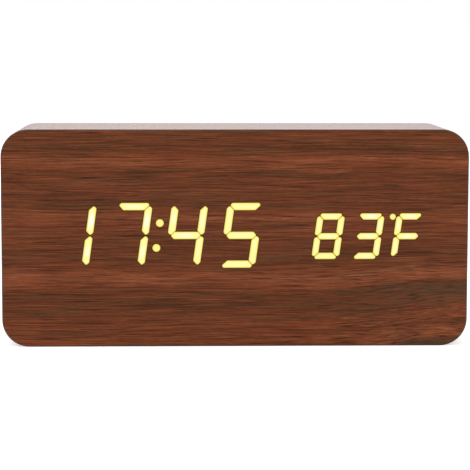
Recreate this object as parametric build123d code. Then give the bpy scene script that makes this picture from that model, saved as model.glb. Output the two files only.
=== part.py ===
from build123d import *
import math
import os

# A desk clock with an LED display behind a wood film.
# It stands on its flat underside, with its face towards -Y and +X to the right.
# The origin is in the middle of the footprint, and lengths are in millimetres.

# Room left around pieces, and how far a cut runs past the face it opens
overrun = 1.0
loose_gap = 0.5
screw_gap = 0.05

# Sides of round pieces that are small, repeated or out of sight
pin_sides = 8
dot_sides = 16
can_sides = 24
round_sides = 32

# Segments of the display: strokes leaning to the right, with bevelled ends
slant_angle = 8.0
tip_shift = 0.28
row_gap = 0.15
end_reach = 0.2
bar_gap = 0.25
bar_cut = 0.45
bar_reach = 0.2
bar_tip_rise = 0.45
middle_reach = 0.15

# Time digits, with a colon of two dots
time_half_width = 4.675
time_row_rise = 9.3
time_stroke = 2.2
time_digit_gap = 6.25
colon_rise = 4.0
colon_radius = 1.2

# Temperature digits, with a degree dot and a unit letter
heat_half_width = 3.425
heat_row_rise = 6.36
heat_stroke = 1.9
heat_digit_gap = 4.0
heat_drop = 0.33
degree_shift = 0.76
degree_drop = 0.1
degree_radius = 0.93

# What the display shows: bars a to f run clockwise from the top, and g is the middle bar
time_signs = ("one", "seven", "four", "five")
heat_signs = ("eight", "three", "unit")
hour_signs = 2
degree_signs = 2
lit_bars = {
    "one": "bc",
    "three": "abcdg",
    "four": "bcfg",
    "five": "acdfg",
    "seven": "abc",
    "eight": "abcdefg",
    "unit": "aefg",
}

# Display block: a white reflector with one pocket for each segment
left_margin = 2.675
group_gap = 17.82
right_margin = 2.305
row_margin = 3.6
display_depth = 8.0
display_rise = 1.0
window_gap = 0.5
led_room = 1.6
led_length = 1.6
led_width = 0.8
led_height = 0.7

# Main board, behind the display, on spacers
board_thickness = 1.6
board_overhang = 2.0
board_margin = 6.0
main_hole_inset_x = 4.0
main_hole_inset_z = 2.8
spacer_radius = 2.2

# Screws: self-tapping, the larger ones with a cross recess
cover_screw_radius = 1.4
cover_screw_length = 12.0
cover_head_radius = 2.75
cover_head_height = 1.6
board_screw_radius = 1.0
board_screw_bite = 3.5
board_head_radius = 1.9
board_head_height = 1.3
recess_depth_share = 0.5
recess_width_share = 0.25
recess_length_share = 1.3

# Parts on the main board, placed from the middle of the display
chip_height = 2.3
chip_width = 7.5
chip_stand = 0.2
lead_pitch = 1.27
lead_width = 0.42
lead_reach = 1.6
lead_foot = 0.7
lead_thickness = 0.3
driver_x = 22.0
driver_z = 3.0
driver_leads = 10
control_x = -4.0
control_z = -8.0
control_leads = 8
transistor_x = 6.0
transistor_z = 13.5
transistor_pitch = 6.0
transistor_count = 7
transistor_length = 2.9
transistor_width = 1.4
transistor_height = 1.1
resistor_x = 4.0
resistor_z = -16.0
resistor_pitch = 3.6
resistor_count = 12
resistor_length = 1.6
resistor_width = 0.8
resistor_height = 0.5
crystal_x = -16.0
crystal_z = -9.0
crystal_radius = 1.5
crystal_length = 8.0
crystal_lead_width = 0.5
crystal_lead_length = 3.0
crystal_lead_spread = 0.7
capacitor_x = 48.0
capacitor_z = -6.0
capacitor_radius = 3.15
capacitor_length = 7.0
capacitor_base = 0.8

# Battery cells, lying along X, one above the other
cell_count = 4
cell_radius = 5.25
cell_length = 44.5
cell_spacing = 0.3
cell_side_gap = 0.6
cell_door_gap = 0.5
cell_floor_gap = 0.5
cell_nub_radius = 1.9
cell_nub_height = 1.0

# Battery bay, moulded in the rear cover
bay_wall = 1.5
ledge_width = 2.0
door_frame_depth = 3.4
door_frame_margin = 2.2
frame_side_gap = 0.5
frame_end_gap = 0.75
divider_width = 1.2
divider_height = 2.4

# Contacts: plates at both ends of the bay, with a folded spring for each flat cell end
contact_thickness = 0.4
contact_height = 7.6
contact_inset = 0.4
leaf_reach = 4.0
leaf_width = 5.0
leaf_fold_share = 0.55
tag_width = 2.4
tag_length = 2.2
tag_gap = 0.15

# Battery door, hooked at its lower edge and latched at its top
door_thickness = 1.6
door_gap = 0.2
door_seat_gap = 0.1
door_edge_round = 0.3
hook_inset = 10.0
hook_width = 7.0
hook_shank = 1.2
hook_reach = 2.0
hook_thickness = 1.2
hook_gap = 0.3
latch_width = 14.0
latch_length = 10.0
latch_slot = 0.8
grip_rise = 0.3
grip_width = 0.8
grip_pitch = 2.0
grip_count = 3
nail_depth = 1.0
nail_height = 2.0

# Button board, on posts behind the cover
board_side_gap = 3.0
lead_room = 6.0
button_board_drop = 10.5
post_inset = 3.0
post_radius = 2.5

# Buttons in an upper row, each over a tactile switch
button_names = ("set", "up", "down")
button_inset_x = 8.0
button_inset_z = 10.0
button_pitch = 15.0
button_radius = 3.5
button_gap = 0.25
button_proud = 1.5
button_edge = 0.5
button_flange_side = 8.4
button_flange_thickness = 1.2
button_play = 0.5
switch_side = 6.0
switch_height = 3.5
switch_corner = 0.6
plunger_radius = 1.7
plunger_gap = 0.1
plunger_sink = 0.9
plunger_room = 0.7

# Power socket, buzzer and sensors in a lower row
row_spacing = 14.5
lower_inset_z = 9.5
socket_inset_x = 10.0
socket_width = 9.0
socket_nose_radius = 3.3
socket_nose_set = 0.3
socket_nose_length = 2.5
socket_nose_gap = 0.2
socket_bore_radius = 1.9
socket_bore_depth = 8.5
socket_pin_radius = 0.65
socket_pin_set = 1.2
buzzer_shift = 1.0
buzzer_radius = 6.0
buzzer_height = 8.5
buzzer_mouth_radius = 1.0
buzzer_mouth_depth = 1.5
grille_radius = 4.6
grille_pitch = 1.8
grille_width = 0.8
grille_count = 5
sensor_inset_x = 6.0
sensor_rise = 4.5
sensor_radius = 3.0
sensor_height = 5.0
collar_wall = 0.9
collar_gap = 0.3
collar_overlap = 1.0
sound_hole_radius = 0.7
bead_inset_x = 11.0
bead_fall = 4.5
bead_radius = 1.2
bead_height = 6.5
bead_lead_width = 0.5
bead_lead_spread = 0.6
air_slot_length = 6.0
air_slot_width = 1.0
air_slot_pitch = 2.2
air_slot_count = 3

# Flat cable between the boards, and the plugs at its ends
ribbon_shift = 1.0
ribbon_width = 12.0
ribbon_thickness = 0.9
plug_length = 15.0
plug_width = 4.6
plug_height = 5.6
plug_fall = 9.0
plug_rise = 4.0

# Leads from the battery contacts to the button board
wire_radius = 0.65
wire_sides = 6
wire_tail = 1.0
wire_inset_x = 6.0
wire_inset_z = 7.0
wire_standoff = 4.0
bend_share = 0.3

# Rear cover, set back behind the rim of the case
cover_thickness = 2.0
cover_set_back = 2.0
cover_gap = 0.2
cover_ledge = 2.0
rib_width = 1.2
rib_height = 1.6

# Blocks glued into the corners of the case, which take the cover's screws
block_side = 10.0
block_length = 20.0
block_pilot_depth = 13.0

# Case: a box of fibreboard, open at the back, with a film over its front
side_wall = 8.0
front_wall = 5.0
pilot_depth_share = 0.75
corner_radius = 8.8
cavity_radius = 3.0
rear_edge_chamfer = 0.5
film_thickness = 0.6
film_edge_chamfer = 0.4
display_room_left = 7.0
display_room_right = 5.0
wiring_room = 18.2

# The display block is as large as its digits need
time_digit_half = time_half_width + time_stroke / 2
time_pitch = 2 * time_digit_half + time_digit_gap
time_steps = len(time_signs) - 1
time_length = 2 * time_digit_half + time_pitch * time_steps
heat_digit_half = heat_half_width + heat_stroke / 2
heat_pitch = 2 * heat_digit_half + heat_digit_gap
heat_steps = len(heat_signs) - 1
heat_length = 2 * heat_digit_half + heat_pitch * heat_steps
display_length = left_margin + time_length + group_gap + heat_length + right_margin
display_height = 2 * time_row_rise + time_stroke + 2 * row_margin
display_x = (display_room_left - display_room_right) / 2
time_x = display_x - display_length / 2 + left_margin + time_digit_half
heat_x = display_x + display_length / 2 - right_margin - heat_length + heat_digit_half
main_board_length = display_length + 2 * board_overhang
main_board_height = display_height + 2 * board_margin
main_hole_x = main_board_length / 2 - main_hole_inset_x
main_hole_z = main_board_height / 2 - main_hole_inset_z

# The battery bay is as large as its cells need, and the button board as its rows need
cell_pitch = 2 * cell_radius + cell_spacing
bay_length = cell_length + leaf_reach + 2 * contact_thickness
bay_height = (cell_count - 1) * cell_pitch + 2 * cell_radius + 2 * cell_side_gap
bay_depth = cell_floor_gap + 2 * cell_radius + cell_door_gap + door_thickness
door_length = bay_length + 2 * ledge_width
door_height = bay_height + 2 * ledge_width
frame_length = door_length + 2 * door_frame_margin
frame_height = door_height + 2 * door_frame_margin
hook_top = door_frame_depth + hook_gap
hook_depth = hook_top + hook_thickness
button_board_length = 2 * button_inset_x + button_pitch * (len(button_names) - 1)
button_board_height = button_inset_z + row_spacing + lower_inset_z

# The case is as large as its contents need
front_room = display_room_left + display_length + display_room_right
board_room = board_side_gap + button_board_length + lead_room
rear_room = 2 * block_side + board_room + frame_length + frame_side_gap
cavity_length = max(front_room, rear_room)
cavity_height = max(main_board_height + 2 * loose_gap, frame_height + 2 * frame_end_gap)
case_length = cavity_length + 2 * side_wall
case_height = cavity_height + 2 * side_wall
board_depth = film_thickness + display_depth + board_thickness
case_depth = board_depth + wiring_room + bay_wall + bay_depth + cover_set_back

# Depths, from the front face to the rear rim
front_y = -case_depth / 2
rear_y = case_depth / 2
film_y = front_y + film_thickness
wall_y = film_y + front_wall
board_y = film_y + display_depth
board_rear_y = board_y + board_thickness
guide_y = board_y - led_room
cover_y = rear_y - cover_set_back
seat_y = cover_y - cover_thickness
door_inner_y = cover_y - door_thickness
cell_y = door_inner_y - cell_door_gap - cell_radius
bay_floor_y = cover_y - bay_depth
button_board_y = seat_y - button_board_drop
button_board_front_y = button_board_y - board_thickness
switch_y = button_board_y + switch_height
flange_y = seat_y - button_play
flange_front_y = flange_y - button_flange_thickness

# Places across the face
middle_z = case_height / 2
display_z = middle_z + display_rise
rebate_wall = side_wall - cover_ledge
rebate_length = case_length - 2 * rebate_wall
rebate_height = case_height - 2 * rebate_wall
rebate_radius = corner_radius - rebate_wall
block_x = cavity_length / 2 - block_side / 2
block_z = cavity_height / 2 - block_side / 2
bay_x = cavity_length / 2 - block_side - frame_side_gap - frame_length / 2
hinge_z = middle_z - door_height / 2
button_board_left = -cavity_length / 2 + block_side + board_side_gap
button_board_right = button_board_left + button_board_length
button_board_x = (button_board_left + button_board_right) / 2
button_z = middle_z + button_board_height / 2 - button_inset_z
lower_z = middle_z - button_board_height / 2 + lower_inset_z
socket_x = button_board_left + socket_inset_x
buzzer_x = button_board_x + buzzer_shift
sensor_x = button_board_right - sensor_inset_x
sensor_z = lower_z + sensor_rise
bead_x = button_board_right - bead_inset_x
bead_z = lower_z - bead_fall
ribbon_x = button_board_x + ribbon_shift


def slab(outline, y_from, y_to):
    """Solid of an outline drawn in X and Z, between two depths."""
    plane = Plane(origin=(0, y_from, 0), x_dir=(1, 0, 0), z_dir=(0, -1, 0))
    return extrude(plane * outline, amount=y_from - y_to)


def block(x_from, x_to, y_from, y_to, z_from, z_to):
    """Rectangular solid between two corners."""
    outline = Pos((x_from + x_to) / 2, (z_from + z_to) / 2) * Rectangle(x_to - x_from, z_to - z_from)
    return slab(outline, y_from, y_to)


def rod(x, z, radius, y_from, y_to):
    """Round solid along Y."""
    return slab(Pos(x, z) * Circle(radius), y_from, y_to)


def pin(x, z, radius, y_from, y_to, sides=pin_sides):
    """Small round solid along Y, with few sides."""
    return slab(Pos(x, z) * RegularPolygon(radius, sides), y_from, y_to)


def corners(x, z):
    """Four places, mirrored in X and Z."""
    return [(side_x * x, side_z * z) for side_x in (-1, 1) for side_z in (-1, 1)]


def group(solids):
    """Several separate solids as one node."""
    return Compound(children=list(solids))


def board_screw(x, z, seat, way, length):
    """Small screw whose head sits on a board at a depth and points one way along Y."""
    shank = pin(x, z, board_screw_radius, seat - way * length, seat)
    return shank + pin(x, z, board_head_radius, seat, seat + way * board_head_height)


def cover_screw(x, z):
    """Screw that holds the cover to a corner block, with a cross recess."""
    head_y = cover_y + cover_head_height
    shank = pin(x, z, cover_screw_radius, cover_y - cover_screw_length, cover_y)
    width = recess_width_share * cover_head_radius
    arm = recess_length_share * cover_head_radius
    cross = Pos(x, z) * (Rectangle(arm, width) + Rectangle(width, arm))
    depth = recess_depth_share * cover_head_height
    head = pin(x, z, cover_head_radius, cover_y, head_y, dot_sides)
    return shank + head - slab(cross, head_y - depth, head_y)


def wire(points):
    """Round wire along straight runs, with every corner as wide as its runs allow."""
    knots = [Vector(*point) for point in points]
    runs = [after - before for before, after in zip(knots, knots[1:])]
    radii = []
    for first, second in zip(runs, runs[1:]):
        half_turn = math.radians(first.get_angle(second)) / 2
        radii.append(bend_share * min(first.length, second.length) / math.tan(half_turn))
    path = FilletPolyline(*knots, radius=radii)
    section = Plane(origin=knots[0], z_dir=runs[0]) * RegularPolygon(wire_radius, wire_sides)
    return sweep(section, path=path)


def strip(points, width, thickness, across):
    """Flat strip of even thickness, folded sharply along a path in one plane."""
    knots = [Vector(*point) for point in points]
    section = Plane(origin=knots[0], x_dir=across, z_dir=knots[1] - knots[0]) * Rectangle(width, thickness)
    return sweep(section, path=Polyline(*knots), transition=Transition.RIGHT)


# Display outlines

def lean(points, x, z):
    """Lean points to the right about the middle of their row, and place them."""
    slope = math.tan(math.radians(slant_angle))
    return [(x + px + slope * pz, z + pz) for px, pz in points]


def side_bar(half_width, rise, stroke):
    """Upper right bar of a digit: a hexagon with its tips outside its middle line."""
    half = stroke / 2
    top = rise + end_reach
    outer_cut = half - tip_shift
    inner_cut = half + tip_shift
    return [
        (half_width + tip_shift, row_gap),
        (half_width + half, row_gap + outer_cut),
        (half_width + half, top - outer_cut),
        (half_width + tip_shift, top),
        (half_width - half, top - inner_cut),
        (half_width - half, row_gap + inner_cut),
    ]


def top_bar(half_width, rise, stroke):
    """Top bar of a digit, bevelled at its inner and outer corners."""
    half = stroke / 2
    inner = half_width - half - bar_gap
    outer = half_width - bar_cut
    tip = half_width + bar_reach
    return [
        (-inner, rise - half),
        (inner, rise - half),
        (tip, rise + bar_tip_rise),
        (outer, rise + half),
        (-outer, rise + half),
        (-tip, rise + bar_tip_rise),
    ]


def middle_bar(half_width, stroke):
    """Middle bar of a digit: a hexagon with equal ends."""
    half = stroke / 2
    tip = half_width + middle_reach
    shoulder = tip - half
    return [(-tip, 0), (-shoulder, -half), (shoulder, -half), (tip, 0), (shoulder, half), (-shoulder, half)]


def digit_bars(half_width, rise, stroke, x, z):
    """The seven bars of a leaning digit, by their letters."""
    top = top_bar(half_width, rise, stroke)
    right = side_bar(half_width, rise, stroke)
    bars = {
        "a": top,
        "b": right,
        "c": [(px, -pz) for px, pz in reversed(right)],
        "d": [(px, -pz) for px, pz in reversed(top)],
        "e": [(-px, -pz) for px, pz in right],
        "f": [(-px, pz) for px, pz in reversed(right)],
        "g": middle_bar(half_width, stroke),
    }
    return {letter: lean(points, x, z) for letter, points in bars.items()}


def time_digits():
    """Bars of the four time digits, from the left."""
    places = [time_x + time_pitch * index for index in range(len(time_signs))]
    return [digit_bars(time_half_width, time_row_rise, time_stroke, x, display_z) for x in places]


def heat_digits():
    """Bars of the two temperature digits and the unit letter, from the left."""
    places = [heat_x + heat_pitch * index for index in range(len(heat_signs))]
    z = display_z - heat_drop
    return [digit_bars(heat_half_width, heat_row_rise, heat_stroke, x, z) for x in places]


def colon_places():
    """Places of the colon's two dots."""
    middle = time_x + time_pitch * time_steps / 2
    return lean([(0, colon_rise), (0, -colon_rise)], middle, display_z)


def degree_places():
    """Place of the degree dot, in the gap before the unit letter."""
    gap_x = heat_x + heat_pitch * heat_steps - heat_pitch / 2
    return lean([(degree_shift, heat_row_rise - degree_drop)], gap_x, display_z - heat_drop)


def bar_solids(outlines, y_from, y_to):
    """A prism for each bar outline."""
    return [slab(Polygon(*points), y_from, y_to) for points in outlines]


def dot_solids(places, radius, y_from, y_to):
    """A round prism for each dot."""
    return [pin(x, z, radius, y_from, y_to, dot_sides) for x, z in places]


def lit_outlines(digits, signs):
    """Outlines of the bars that are lit for a row of signs."""
    return [bars[letter] for bars, sign in zip(digits, signs) for letter in lit_bars[sign]]


def lit_nodes():
    """Glowing areas of the film, one node for each group of signs."""
    hours = lit_outlines(time_digits()[:hour_signs], time_signs[:hour_signs])
    minutes = lit_outlines(time_digits()[hour_signs:], time_signs[hour_signs:])
    heat = lit_outlines(heat_digits()[:degree_signs], heat_signs[:degree_signs])
    unit = lit_outlines(heat_digits()[degree_signs:], heat_signs[degree_signs:])
    return {
        "lit_hours": bar_solids(hours, front_y, film_y),
        "lit_minutes": bar_solids(minutes, front_y, film_y),
        "lit_temperature": bar_solids(heat, front_y, film_y),
        "lit_unit": bar_solids(unit, front_y, film_y),
        "lit_colon": dot_solids(colon_places(), colon_radius, front_y, film_y),
        "lit_degree": dot_solids(degree_places(), degree_radius, front_y, film_y),
    }


# Case

def case_shell():
    """Box with a display window in its front and a stepped opening at its back."""
    outline = Pos(0, middle_z) * RectangleRounded(case_length, case_height, corner_radius)
    body = slab(outline, film_y, rear_y)
    body = chamfer(body.faces().sort_by(Axis.Y)[-1].edges(), length=rear_edge_chamfer)
    cavity = Pos(0, middle_z) * RectangleRounded(cavity_length, cavity_height, cavity_radius)
    rebate = Pos(0, middle_z) * RectangleRounded(rebate_length, rebate_height, rebate_radius)
    window = Pos(display_x, display_z) * Rectangle(
        display_length + 2 * window_gap, display_height + 2 * window_gap
    )
    body -= slab(cavity, wall_y, rear_y + overrun)
    body -= slab(rebate, seat_y, rear_y + overrun)
    body -= slab(window, film_y - overrun, wall_y + overrun)
    pilot = board_screw_radius + screw_gap
    pilot_y = wall_y - front_wall * pilot_depth_share
    for x, z in corners(main_hole_x, main_hole_z):
        body -= pin(display_x + x, display_z + z, pilot, pilot_y, wall_y + overrun)
    return body


def front_veneer():
    """Thin front film, with its rim chamfered and an opening for each lit area."""
    outline = Pos(0, middle_z) * RectangleRounded(case_length, case_height, corner_radius)
    film = slab(outline, front_y, film_y)
    film = chamfer(film.faces().sort_by(Axis.Y)[0].edges(), length=film_edge_chamfer)
    bars = lit_outlines(time_digits(), time_signs) + lit_outlines(heat_digits(), heat_signs)
    start = front_y - overrun
    end = film_y + overrun
    cuts = bar_solids(bars, start, end)
    cuts += dot_solids(colon_places(), colon_radius, start, end)
    cuts += dot_solids(degree_places(), degree_radius, start, end)
    return film - cuts


def distance_from_axis(edge):
    """How far an edge lies from the middle of the case, across its depth."""
    return abs(edge.center().X) + abs(edge.center().Z - middle_z)


def corner_blocks():
    """Four glued blocks, cut back where the cavity's corner is round."""
    solids = []
    for x, z in corners(block_x, block_z):
        body = slab(Pos(x, middle_z + z) * Rectangle(block_side, block_side), seat_y - block_length, seat_y)
        outer = body.edges().filter_by(Axis.Y).sort_by(distance_from_axis)
        body = chamfer(outer[-1], length=cavity_radius)
        pilot = cover_screw_radius + screw_gap
        body -= pin(x, middle_z + z, pilot, seat_y - block_pilot_depth, seat_y + overrun)
        solids.append(body)
    return group(solids)


# Display

def display_reflector():
    """White block with a pocket right through for each bar and dot."""
    outline = Pos(display_x, display_z) * Rectangle(display_length, display_height)
    body = slab(outline, film_y, board_y)
    bars = [points for digit in time_digits() + heat_digits() for points in digit.values()]
    start = film_y - overrun
    end = board_y + overrun
    cuts = bar_solids(bars, start, end)
    cuts += dot_solids(colon_places(), colon_radius, start, end)
    cuts += dot_solids(degree_places(), degree_radius, start, end)
    return body - cuts


def time_segment_guides():
    """Clear bars that fill the time digits' pockets."""
    bars = [points for digit in time_digits() for points in digit.values()]
    return group(bar_solids(bars, film_y, guide_y))


def temperature_segment_guides():
    """Clear bars that fill the temperature digits' pockets."""
    bars = [points for digit in heat_digits() for points in digit.values()]
    return group(bar_solids(bars, film_y, guide_y))


def dot_guides():
    """Clear rods that fill the colon's and the degree dot's pockets."""
    solids = dot_solids(colon_places(), colon_radius, film_y, guide_y)
    return group(solids + dot_solids(degree_places(), degree_radius, film_y, guide_y))


def led_chips():
    """A light chip on the board in the middle of each pocket."""
    places = []
    for digit in time_digits() + heat_digits():
        for points in digit.values():
            places.append((sum(p[0] for p in points) / len(points), sum(p[1] for p in points) / len(points)))
    places += colon_places() + degree_places()
    chip = Rectangle(led_width, led_length)
    return group(slab(Pos(x, z) * chip, board_y - led_height, board_y) for x, z in places)


# Main board

def main_board():
    """Board behind the display, with four screw holes."""
    outline = Pos(display_x, display_z) * Rectangle(main_board_length, main_board_height)
    body = slab(outline, board_y, board_rear_y)
    hole = board_screw_radius + screw_gap
    for x, z in corners(main_hole_x, main_hole_z):
        body -= pin(display_x + x, display_z + z, hole, board_y - overrun, board_rear_y + overrun)
    return body


def board_spacers():
    """Four sleeves between the front wall and the main board."""
    solids = []
    for x, z in corners(main_hole_x, main_hole_z):
        sleeve = pin(display_x + x, display_z + z, spacer_radius, wall_y, board_y)
        bore = board_screw_radius + screw_gap
        solids.append(sleeve - pin(display_x + x, display_z + z, bore, wall_y, board_y))
    return group(solids)


def main_board_screws():
    """Four screws through board and spacers into the front wall."""
    length = board_rear_y - wall_y + board_screw_bite
    places = corners(main_hole_x, main_hole_z)
    return group(board_screw(display_x + x, display_z + z, board_rear_y, 1, length) for x, z in places)


def gull_lead(x, z, way):
    """Lead that slopes from a chip's side down to the board."""
    level = board_rear_y + chip_stand + chip_height / 2
    heel = z + way * (lead_reach - lead_foot)
    toe = z + way * lead_reach
    outline = [(level, z), (board_rear_y, heel), (board_rear_y, toe), (level + lead_thickness, z)]
    side = Plane(origin=(x - lead_width / 2, 0, 0), x_dir=(0, 1, 0), z_dir=(1, 0, 0))
    return extrude(side * Polygon(*outline, align=None), amount=lead_width, dir=(1, 0, 0))


def leaded_chip(x, z, leads):
    """Flat chip with a row of leads along its top and bottom."""
    length = lead_pitch * leads
    bottom = board_rear_y + chip_stand
    body = slab(Pos(x, z) * Rectangle(length, chip_width), bottom, bottom + chip_height)
    for index in range(leads):
        lead_x = x + lead_pitch * (index - (leads - 1) / 2)
        for way in (-1, 1):
            body += gull_lead(lead_x, z + way * chip_width / 2, way)
    return body


def driver_chip():
    """Chip that lights the segments."""
    return leaded_chip(display_x + driver_x, display_z + driver_z, driver_leads)


def control_chip():
    """Chip that keeps the time."""
    return leaded_chip(display_x + control_x, display_z + control_z, control_leads)


def row_of_parts(x, z, pitch, count, length, width, height):
    """Small parts in a row along X on the back of the main board."""
    first = display_x + x - pitch * (count - 1) / 2
    outline = Rectangle(length, width)
    places = [Pos(first + pitch * index, display_z + z) for index in range(count)]
    return [slab(place * outline, board_rear_y, board_rear_y + height) for place in places]


def digit_transistors():
    """Switching transistors, one for each digit."""
    return group(row_of_parts(
        transistor_x, transistor_z, transistor_pitch, transistor_count,
        transistor_length, transistor_width, transistor_height,
    ))


def chip_resistors():
    """Resistors, which lie in a row below the chips."""
    return group(row_of_parts(
        resistor_x, resistor_z, resistor_pitch, resistor_count,
        resistor_length, resistor_width, resistor_height,
    ))


def clock_crystal():
    """Timing crystal: a lying can with two leads bent to the board."""
    x = display_x + crystal_x
    z = display_z + crystal_z
    y = board_rear_y + crystal_radius
    can = Pos(x, y, z) * extrude(RegularPolygon(crystal_radius, dot_sides), amount=crystal_length)
    half = crystal_lead_width / 2
    end = z - crystal_lead_length
    for side in (-1, 1):
        left = x + side * crystal_lead_spread - half
        right = left + crystal_lead_width
        can += block(left, right, y - half, y + half, end, z)
        can += block(left, right, board_rear_y, y + half, end - crystal_lead_width, end)
    return can


def filter_capacitor():
    """Round capacitor that stands on a square foot on the main board."""
    x = display_x + capacitor_x
    z = display_z + capacitor_z
    side = 2 * capacitor_radius
    foot_y = board_rear_y + capacitor_base
    foot = slab(Pos(x, z) * Rectangle(side, side), board_rear_y, foot_y)
    return foot + pin(x, z, capacitor_radius, foot_y, board_rear_y + capacitor_length, can_sides)


# Rear cover and battery bay

def bay_box(margin):
    """Outline of the battery bay, with a margin all round."""
    return Pos(bay_x, middle_z) * Rectangle(bay_length + 2 * margin, bay_height + 2 * margin)


def hook_places():
    """Places of the door's two hooks along X."""
    reach = door_length / 2 - hook_inset
    return [bay_x - reach, bay_x + reach]


def grille_slots():
    """Slots of the sound grille over the buzzer, cut to the chords of a circle."""
    slots = []
    for index in range(grille_count):
        rise = grille_pitch * (index - (grille_count - 1) / 2)
        chord = 2 * math.sqrt(grille_radius ** 2 - rise ** 2)
        slots.append(Pos(buzzer_x, lower_z + rise) * Rectangle(chord, grille_width))
    return slots


def air_slots():
    """Slots over the temperature sensor."""
    rises = [air_slot_pitch * (index - (air_slot_count - 1) / 2) for index in range(air_slot_count)]
    return [Pos(bead_x, bead_z + rise) * Rectangle(air_slot_length, air_slot_width) for rise in rises]


def button_places():
    """Places of the buttons along X, from the right seen from the front."""
    first = button_board_right - button_inset_x
    return [first - button_pitch * index for index in range(len(button_names))]


def post_places():
    """Places of the four posts that carry the button board."""
    reach_x = button_board_length / 2 - post_inset
    reach_z = button_board_height / 2 - post_inset
    return [(button_board_x + x, middle_z + z) for x, z in corners(reach_x, reach_z)]


def cover_frame():
    """Plate of the cover with the door's frame, the bay's walls, posts, collar and ribs."""
    outline = Pos(0, middle_z) * RectangleRounded(
        rebate_length - 2 * cover_gap, rebate_height - 2 * cover_gap, rebate_radius - cover_gap
    )
    body = slab(outline, seat_y, cover_y)
    frame_depth_y = cover_y - door_frame_depth
    body += slab(bay_box(ledge_width + door_frame_margin), frame_depth_y, seat_y)
    body += slab(bay_box(bay_wall), bay_floor_y - bay_wall, seat_y)
    for x, z in post_places():
        body += pin(x, z, post_radius, button_board_y, seat_y)
    collar = sensor_radius + collar_gap + collar_wall
    collar_y = button_board_y + sensor_height - collar_overlap
    body += pin(sensor_x, sensor_z, collar, collar_y, seat_y, dot_sides)
    top = middle_z + cavity_height / 2 - block_side - loose_gap
    low = middle_z - cavity_height / 2 + block_side + loose_gap
    for x in (button_board_left - rib_width, bay_x + frame_length / 2 + rib_width):
        body += block(x - rib_width, x, seat_y - rib_height, seat_y, low, top)
    return body


def bay_cuts():
    """What is cut from the cover for the bay, the door and its hooks."""
    out = cover_y + overrun
    cuts = [slab(bay_box(0), bay_floor_y, out)]
    cuts.append(slab(bay_box(ledge_width + door_gap), door_inner_y - door_seat_gap, out))
    sweep_reach = math.hypot(hook_reach, hook_depth) + hook_gap
    for x in hook_places():
        left = x - hook_width / 2 - hook_gap
        right = x + hook_width / 2 + hook_gap
        low = hinge_z - door_gap
        cuts.append(block(left, right, cover_y - sweep_reach, out, low, hinge_z + sweep_reach))
    top = middle_z + door_height / 2
    nail = Pos(bay_x, top) * Rectangle(latch_width, 2 * nail_height)
    cuts.append(slab(nail, cover_y - nail_depth, out))
    for z in (cell_z(0), cell_z(cell_count - 1)):
        half = tag_width / 2 + tag_gap
        thick = contact_thickness / 2 + tag_gap
        wall = bay_x - bay_length / 2
        left = wall - bay_wall - overrun
        cuts.append(block(left, wall + overrun, cell_y - thick, cell_y + thick, z - half, z + half))
    return cuts


def hole_cuts():
    """Holes of the cover for screws, buttons, socket, sound and air."""
    start = seat_y - overrun
    out = cover_y + overrun
    screw_hole = cover_screw_radius + screw_gap
    cuts = [pin(x, middle_z + z, screw_hole, start, out) for x, z in corners(block_x, block_z)]
    button_hole = button_radius + button_gap
    cuts += [pin(x, button_z, button_hole, start, out, round_sides) for x in button_places()]
    cuts.append(rod(socket_x, lower_z, socket_nose_radius + socket_nose_gap, start, out))
    cuts.append(pin(sensor_x, sensor_z, sound_hole_radius, start, out))
    cuts.append(pin(sensor_x, sensor_z, sensor_radius + collar_gap, button_board_y, seat_y, dot_sides))
    cuts += [slab(slot, start, out) for slot in grille_slots() + air_slots()]
    pilot = board_screw_radius + screw_gap
    pilot_end = button_board_y + board_screw_bite + screw_gap
    cuts += [pin(x, z, pilot, button_board_y - overrun, pilot_end) for x, z in post_places()]
    return cuts


def back_cover():
    """Moulded cover with the battery bay and low dividers between the cells."""
    body = cover_frame() - bay_cuts() - hole_cuts()
    left = bay_x - cell_length / 2 + cell_radius
    right = bay_x + cell_length / 2 - cell_radius
    top_y = bay_floor_y + divider_height
    half = divider_width / 2
    for index in range(cell_count - 1):
        z = (cell_z(index) + cell_z(index + 1)) / 2
        body += block(left, right, bay_floor_y, top_y, z - half, z + half)
    return body


def cover_screws():
    """Four screws that hold the cover to the corner blocks."""
    return group(cover_screw(x, middle_z + z) for x, z in corners(block_x, block_z))


def battery_door():
    """Flush door with two hooks below and a springy latch tongue above."""
    outline = Pos(bay_x, middle_z) * Rectangle(door_length, door_height)
    body = slab(outline, door_inner_y, cover_y)
    body = fillet(body.faces().sort_by(Axis.Y)[-1].edges().filter_by(Axis.Z), radius=door_edge_round)
    top = middle_z + door_height / 2
    for side in (-1, 1):
        slot_x = bay_x + side * (latch_width + latch_slot) / 2
        slot = Pos(slot_x, top) * Rectangle(latch_slot, 2 * latch_length)
        body -= slab(slot, door_inner_y - overrun, cover_y + overrun)
    reach = latch_width / 2 - grip_pitch
    for index in range(grip_count):
        low = top - grip_pitch * (index + 1) - grip_width / 2
        body += block(bay_x - reach, bay_x + reach, cover_y, cover_y + grip_rise, low, low + grip_width)
    for x in hook_places():
        left = x - hook_width / 2
        right = x + hook_width / 2
        low_y = cover_y - hook_depth
        body += block(left, right, low_y, door_inner_y, hinge_z, hinge_z + hook_shank)
        body += block(left, right, low_y, cover_y - hook_top, hinge_z - hook_reach, hinge_z)
    return body


# Battery cells and contacts

def cell_z(index):
    """Height of a cell's axis, counted from the top."""
    return middle_z + cell_pitch * ((cell_count - 1) / 2 - index)


def cell_way(index):
    """Way in X that a cell's nub points: the cells lie in turn."""
    return 1 if index % 2 else -1


def along_x(outline, x, y, z, length):
    """Solid that runs along X from a place, by a signed length."""
    side = Plane(origin=(x, y, z), x_dir=(0, 1, 0), z_dir=(1, 0, 0))
    return extrude(side * outline, amount=length)


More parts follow.
